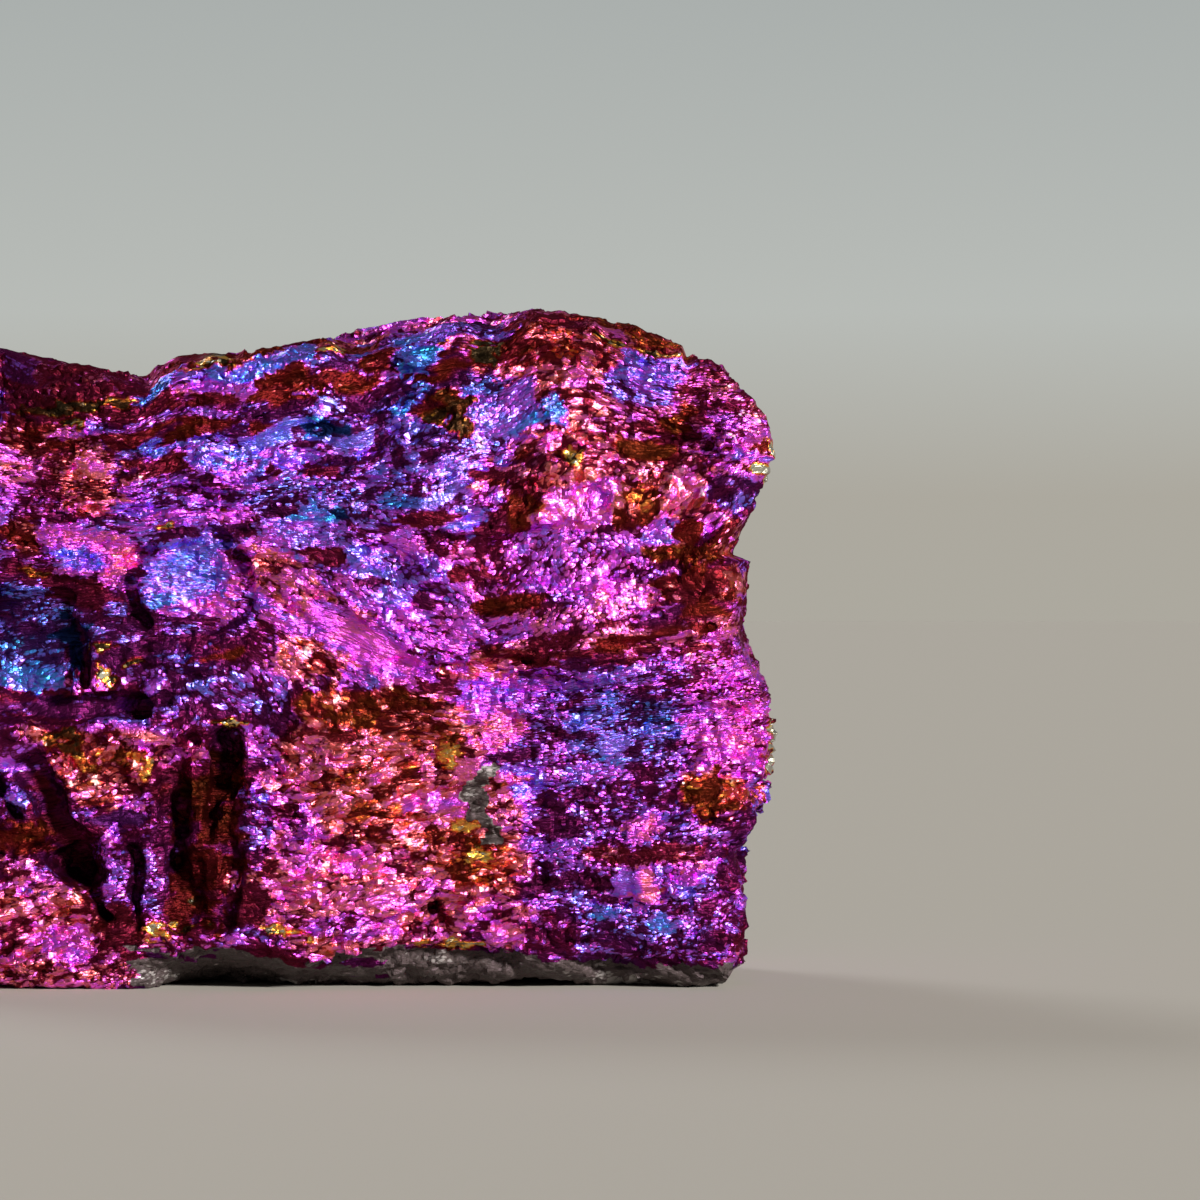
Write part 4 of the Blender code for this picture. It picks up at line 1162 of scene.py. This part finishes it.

# %% [markdown]
# ## The tarnish
#
# The material reads the film thickness of each vertex and adds a little for each fine grain, then looks
# the colour up on a ramp in the order in which tarnish really goes. A second ramp holds darker copies of
# these colours, painted shade for where the film misses the light. Which of the two shows is painted light
# and shade: it depends on the painted light stored on each vertex and on how each grain faces the lamp,
# and where little painted light is stored the colour is darkened further. The same grains give the bump.
# Under the film is metal, so the tarnish is mostly metallic.

# %% Mix the tarnish
SHINING = [
    (0.03, (0.62, 0.60, 0.48)),
    (0.09, (0.95, 0.55, 0.07)),
    (0.18, (0.95, 0.30, 0.05)),
    (0.26, (0.60, 0.06, 0.015)),
    (0.31, (0.52, 0.03, 0.03)),
    (0.38, (0.94, 0.18, 0.19)),
    (0.47, (0.94, 0.13, 0.48)),
    (0.57, (0.82, 0.08, 0.86)),
    (0.66, (0.50, 0.09, 0.92)),
    (0.74, (0.31, 0.16, 0.96)),
    (0.83, (0.14, 0.18, 0.95)),
    (0.92, (0.05, 0.28, 0.88)),
    (1.00, (0.03, 0.27, 0.52)),
]
# Painted shade: darker copies of the film colours, for where the film misses the light
SHADED_FILM_RAMP = [
    (0.06, (0.042, 0.026, 0.012)),
    (0.14, (0.060, 0.022, 0.008)),
    (0.21, (0.115, 0.018, 0.004)),
    (0.30, (0.130, 0.008, 0.007)),
    (0.55, (0.118, 0.005, 0.036)),
    (0.72, (0.074, 0.006, 0.068)),
    (0.84, (0.038, 0.010, 0.088)),
    (0.94, (0.006, 0.018, 0.090)),
]
# Bare rock in painted shade and in painted light
ROCK_IN_PAINTED_SHADE, ROCK_IN_PAINTED_LIGHT = (0.066, 0.050, 0.048, 1.0), (0.30, 0.27, 0.26, 1.0)
SPECULAR, SPECULAR_TINT = 0.4, (0.6, 0.4, 0.5, 1.0)
METAL, COAT, COAT_ROUGHNESS = 0.9, 0.45, 0.25
ROUGH, ROUGH_LIT, ROUGH_DUST = 0.46, 0.12, 0.1  # shining grains are less rough, dusty ones more
STREAK_SIZE = (2.4, 2.4, 0.30)
HALF = (0.5, 0.5, 0.5)
GRAIN_GAP = (0.42, 0.78)  # how far from a grain's middle the gap to the next one starts and is full
# A grain's facing of the lamp paints light into its colour and its shine; the gap round it paints shade
TINT_TONE, TINT_PAINTED_BY_FACING = 0.16, 0.06  # how much a grain's tone and its facing change the colour
LIT_FACING, GAP_PAINTED_SHADE, LIT_MORE = 0.46, 0.35, 0.06  # and how its facing and the gap change the shine
LIT_DUST, TINT_DUST, BUMP_DUST = 0.3, 0.08, 0.05
LIT_STREAK, TINT_STREAK, BUMP_STREAK = 1.3, 0.12, 0.22
LIT_EDGE = (0.30, 0.64)  # the shine starts and is full here
# Painted shade: where little painted light is stored, only this much of the colour is left
SHADE_EDGE, DARKEST_PAINTED_SHADE = (-0.8, 0.15), 0.3  # where little is covered, only this much of the colour is left
ROCK_EDGE = (0.4, 0.55)
# Each grain size: (size along, back and across the layers, step, tilt, name of its share)
GRAIN_SIZES = [((0.80, 0.80, 0.42), 0.06, 0.30, "coarse"), ((0.32, 0.32, 0.17), 0.03, 0.30, "fine")]
tarnish = bpy.data.materials.new("copper_tarnish")
tarnish.use_nodes = True
tree = tarnish.node_tree
shader = tree.nodes["Principled BSDF"]
start = Wire(tree)


def stored(name, output=2):
    return start.add("ShaderNodeAttribute", {"attribute_name": name}, output)


def grains(place, size, step, tilt):
    """Flat little grains: their height, a random tone, how far they face the lamp, and the gaps."""
    spot = place.vector("DIVIDE", size)
    cells = start.add("ShaderNodeTexVoronoi", {"feature": "F1"}, 1, Vector=spot, Scale=1.0, Randomness=1.0)
    colour, centre = cells, Wire(tree, cells.socket.node.outputs["Position"])
    away = spot.vector("SUBTRACT", centre).vector("MULTIPLY", size)
    lean = colour.vector("SUBTRACT", HALF)
    parts = start.add("ShaderNodeSeparateColor", None, 0, _0=colour)
    height = away.vector("DOT_PRODUCT", lean, 1) * (2.0 * tilt) + parts * step
    tone = Wire(tree, parts.socket.node.outputs[1]) - 0.5
    gap = Wire(tree, cells.socket.node.outputs["Distance"]).between(*GRAIN_GAP)
    return height - gap * step, tone, lean.vector("DOT_PRODUCT", tuple(-TO_LAMP), 1), gap


place, film_wire, painted_light_wire = stored("straight_place", 1), stored("film"), stored("cover")
height, tint, lit = 0.0, film_wire, painted_light_wire
for size, step, tilt, share_name in GRAIN_SIZES:
    share = stored(share_name)
    grain_height, grain_tone, grain_facing, gap = grains(place, size, step, tilt)
    height = height + grain_height * share
    # Painted light on grains that face the lamp, painted shade in the gaps between grains
    tint = tint + (grain_tone * TINT_TONE + grain_facing * TINT_PAINTED_BY_FACING) * share
    lit = lit + (grain_facing * LIT_FACING - gap * GAP_PAINTED_SHADE + LIT_MORE) * share
dust = start.add("ShaderNodeTexNoise", None, 0, Vector=place, Scale=4.0, Detail=4.0, Roughness=0.65) - 0.5
drawn_out = place.vector("DIVIDE", STREAK_SIZE)
streak = start.add("ShaderNodeTexNoise", None, 0, Vector=drawn_out, Scale=1.0, Detail=3.0, Roughness=0.6)
streak = (streak - 0.5) * stored("streaky")
lit = (lit + dust * LIT_DUST + streak * LIT_STREAK).between(*LIT_EDGE)
tint = tint + dust * TINT_DUST + streak * TINT_STREAK
height = height + dust * BUMP_DUST + streak * BUMP_STREAK

shining = start.add("ShaderNodeValToRGB", {"stops": SHINING}, 0, Fac=tint)
# The same film in painted shade
deep = start.add("ShaderNodeValToRGB", {"stops": SHADED_FILM_RAMP}, 0, Fac=film_wire)
base = lit.blend(deep, shining)
shade = painted_light_wire.between(*SHADE_EDGE) * (1.0 - DARKEST_PAINTED_SHADE) + DARKEST_PAINTED_SHADE
rock = (stored("bare") + dust * 0.5).between(*ROCK_EDGE)
base = rock.blend(base.vector("MULTIPLY", shade), lit.blend(ROCK_IN_PAINTED_SHADE, ROCK_IN_PAINTED_LIGHT))
tree.links.new(base.socket, shader.inputs["Base Color"])
tree.links.new(((1.0 - rock) * METAL).socket, shader.inputs["Metallic"])
shader.inputs["Specular IOR Level"].default_value = SPECULAR
shader.inputs["Specular Tint"].default_value = SPECULAR_TINT
shader.inputs["Coat Roughness"].default_value = COAT_ROUGHNESS
tree.links.new((lit * COAT).socket, shader.inputs["Coat Weight"])
roughness = ROUGH - lit * ROUGH_LIT + dust * ROUGH_DUST
tree.links.new(roughness.socket, shader.inputs["Roughness"])
bump = start.add("ShaderNodeBump", None, 0, Height=height, Distance=MM, Strength=1.0)
tree.links.new(bump.socket, shader.inputs["Normal"])
stone.data.materials.append(tarnish)
print(len(tree.nodes), "nodes in the tarnish")

# %% [markdown]
# ## Hand over
#
# Gentle edges are shaded smooth and sharp breaks are kept. The finished stone then takes the place of
# the block-out.

# %% Finish
SHARP_FROM = 24.0  # edges that turn more than this many degrees stay sharp
select_only(stone)
bpy.ops.object.shade_smooth_by_angle(angle=math.radians(SHARP_FROM))
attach(stone, "root")
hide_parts("ore_chunk")
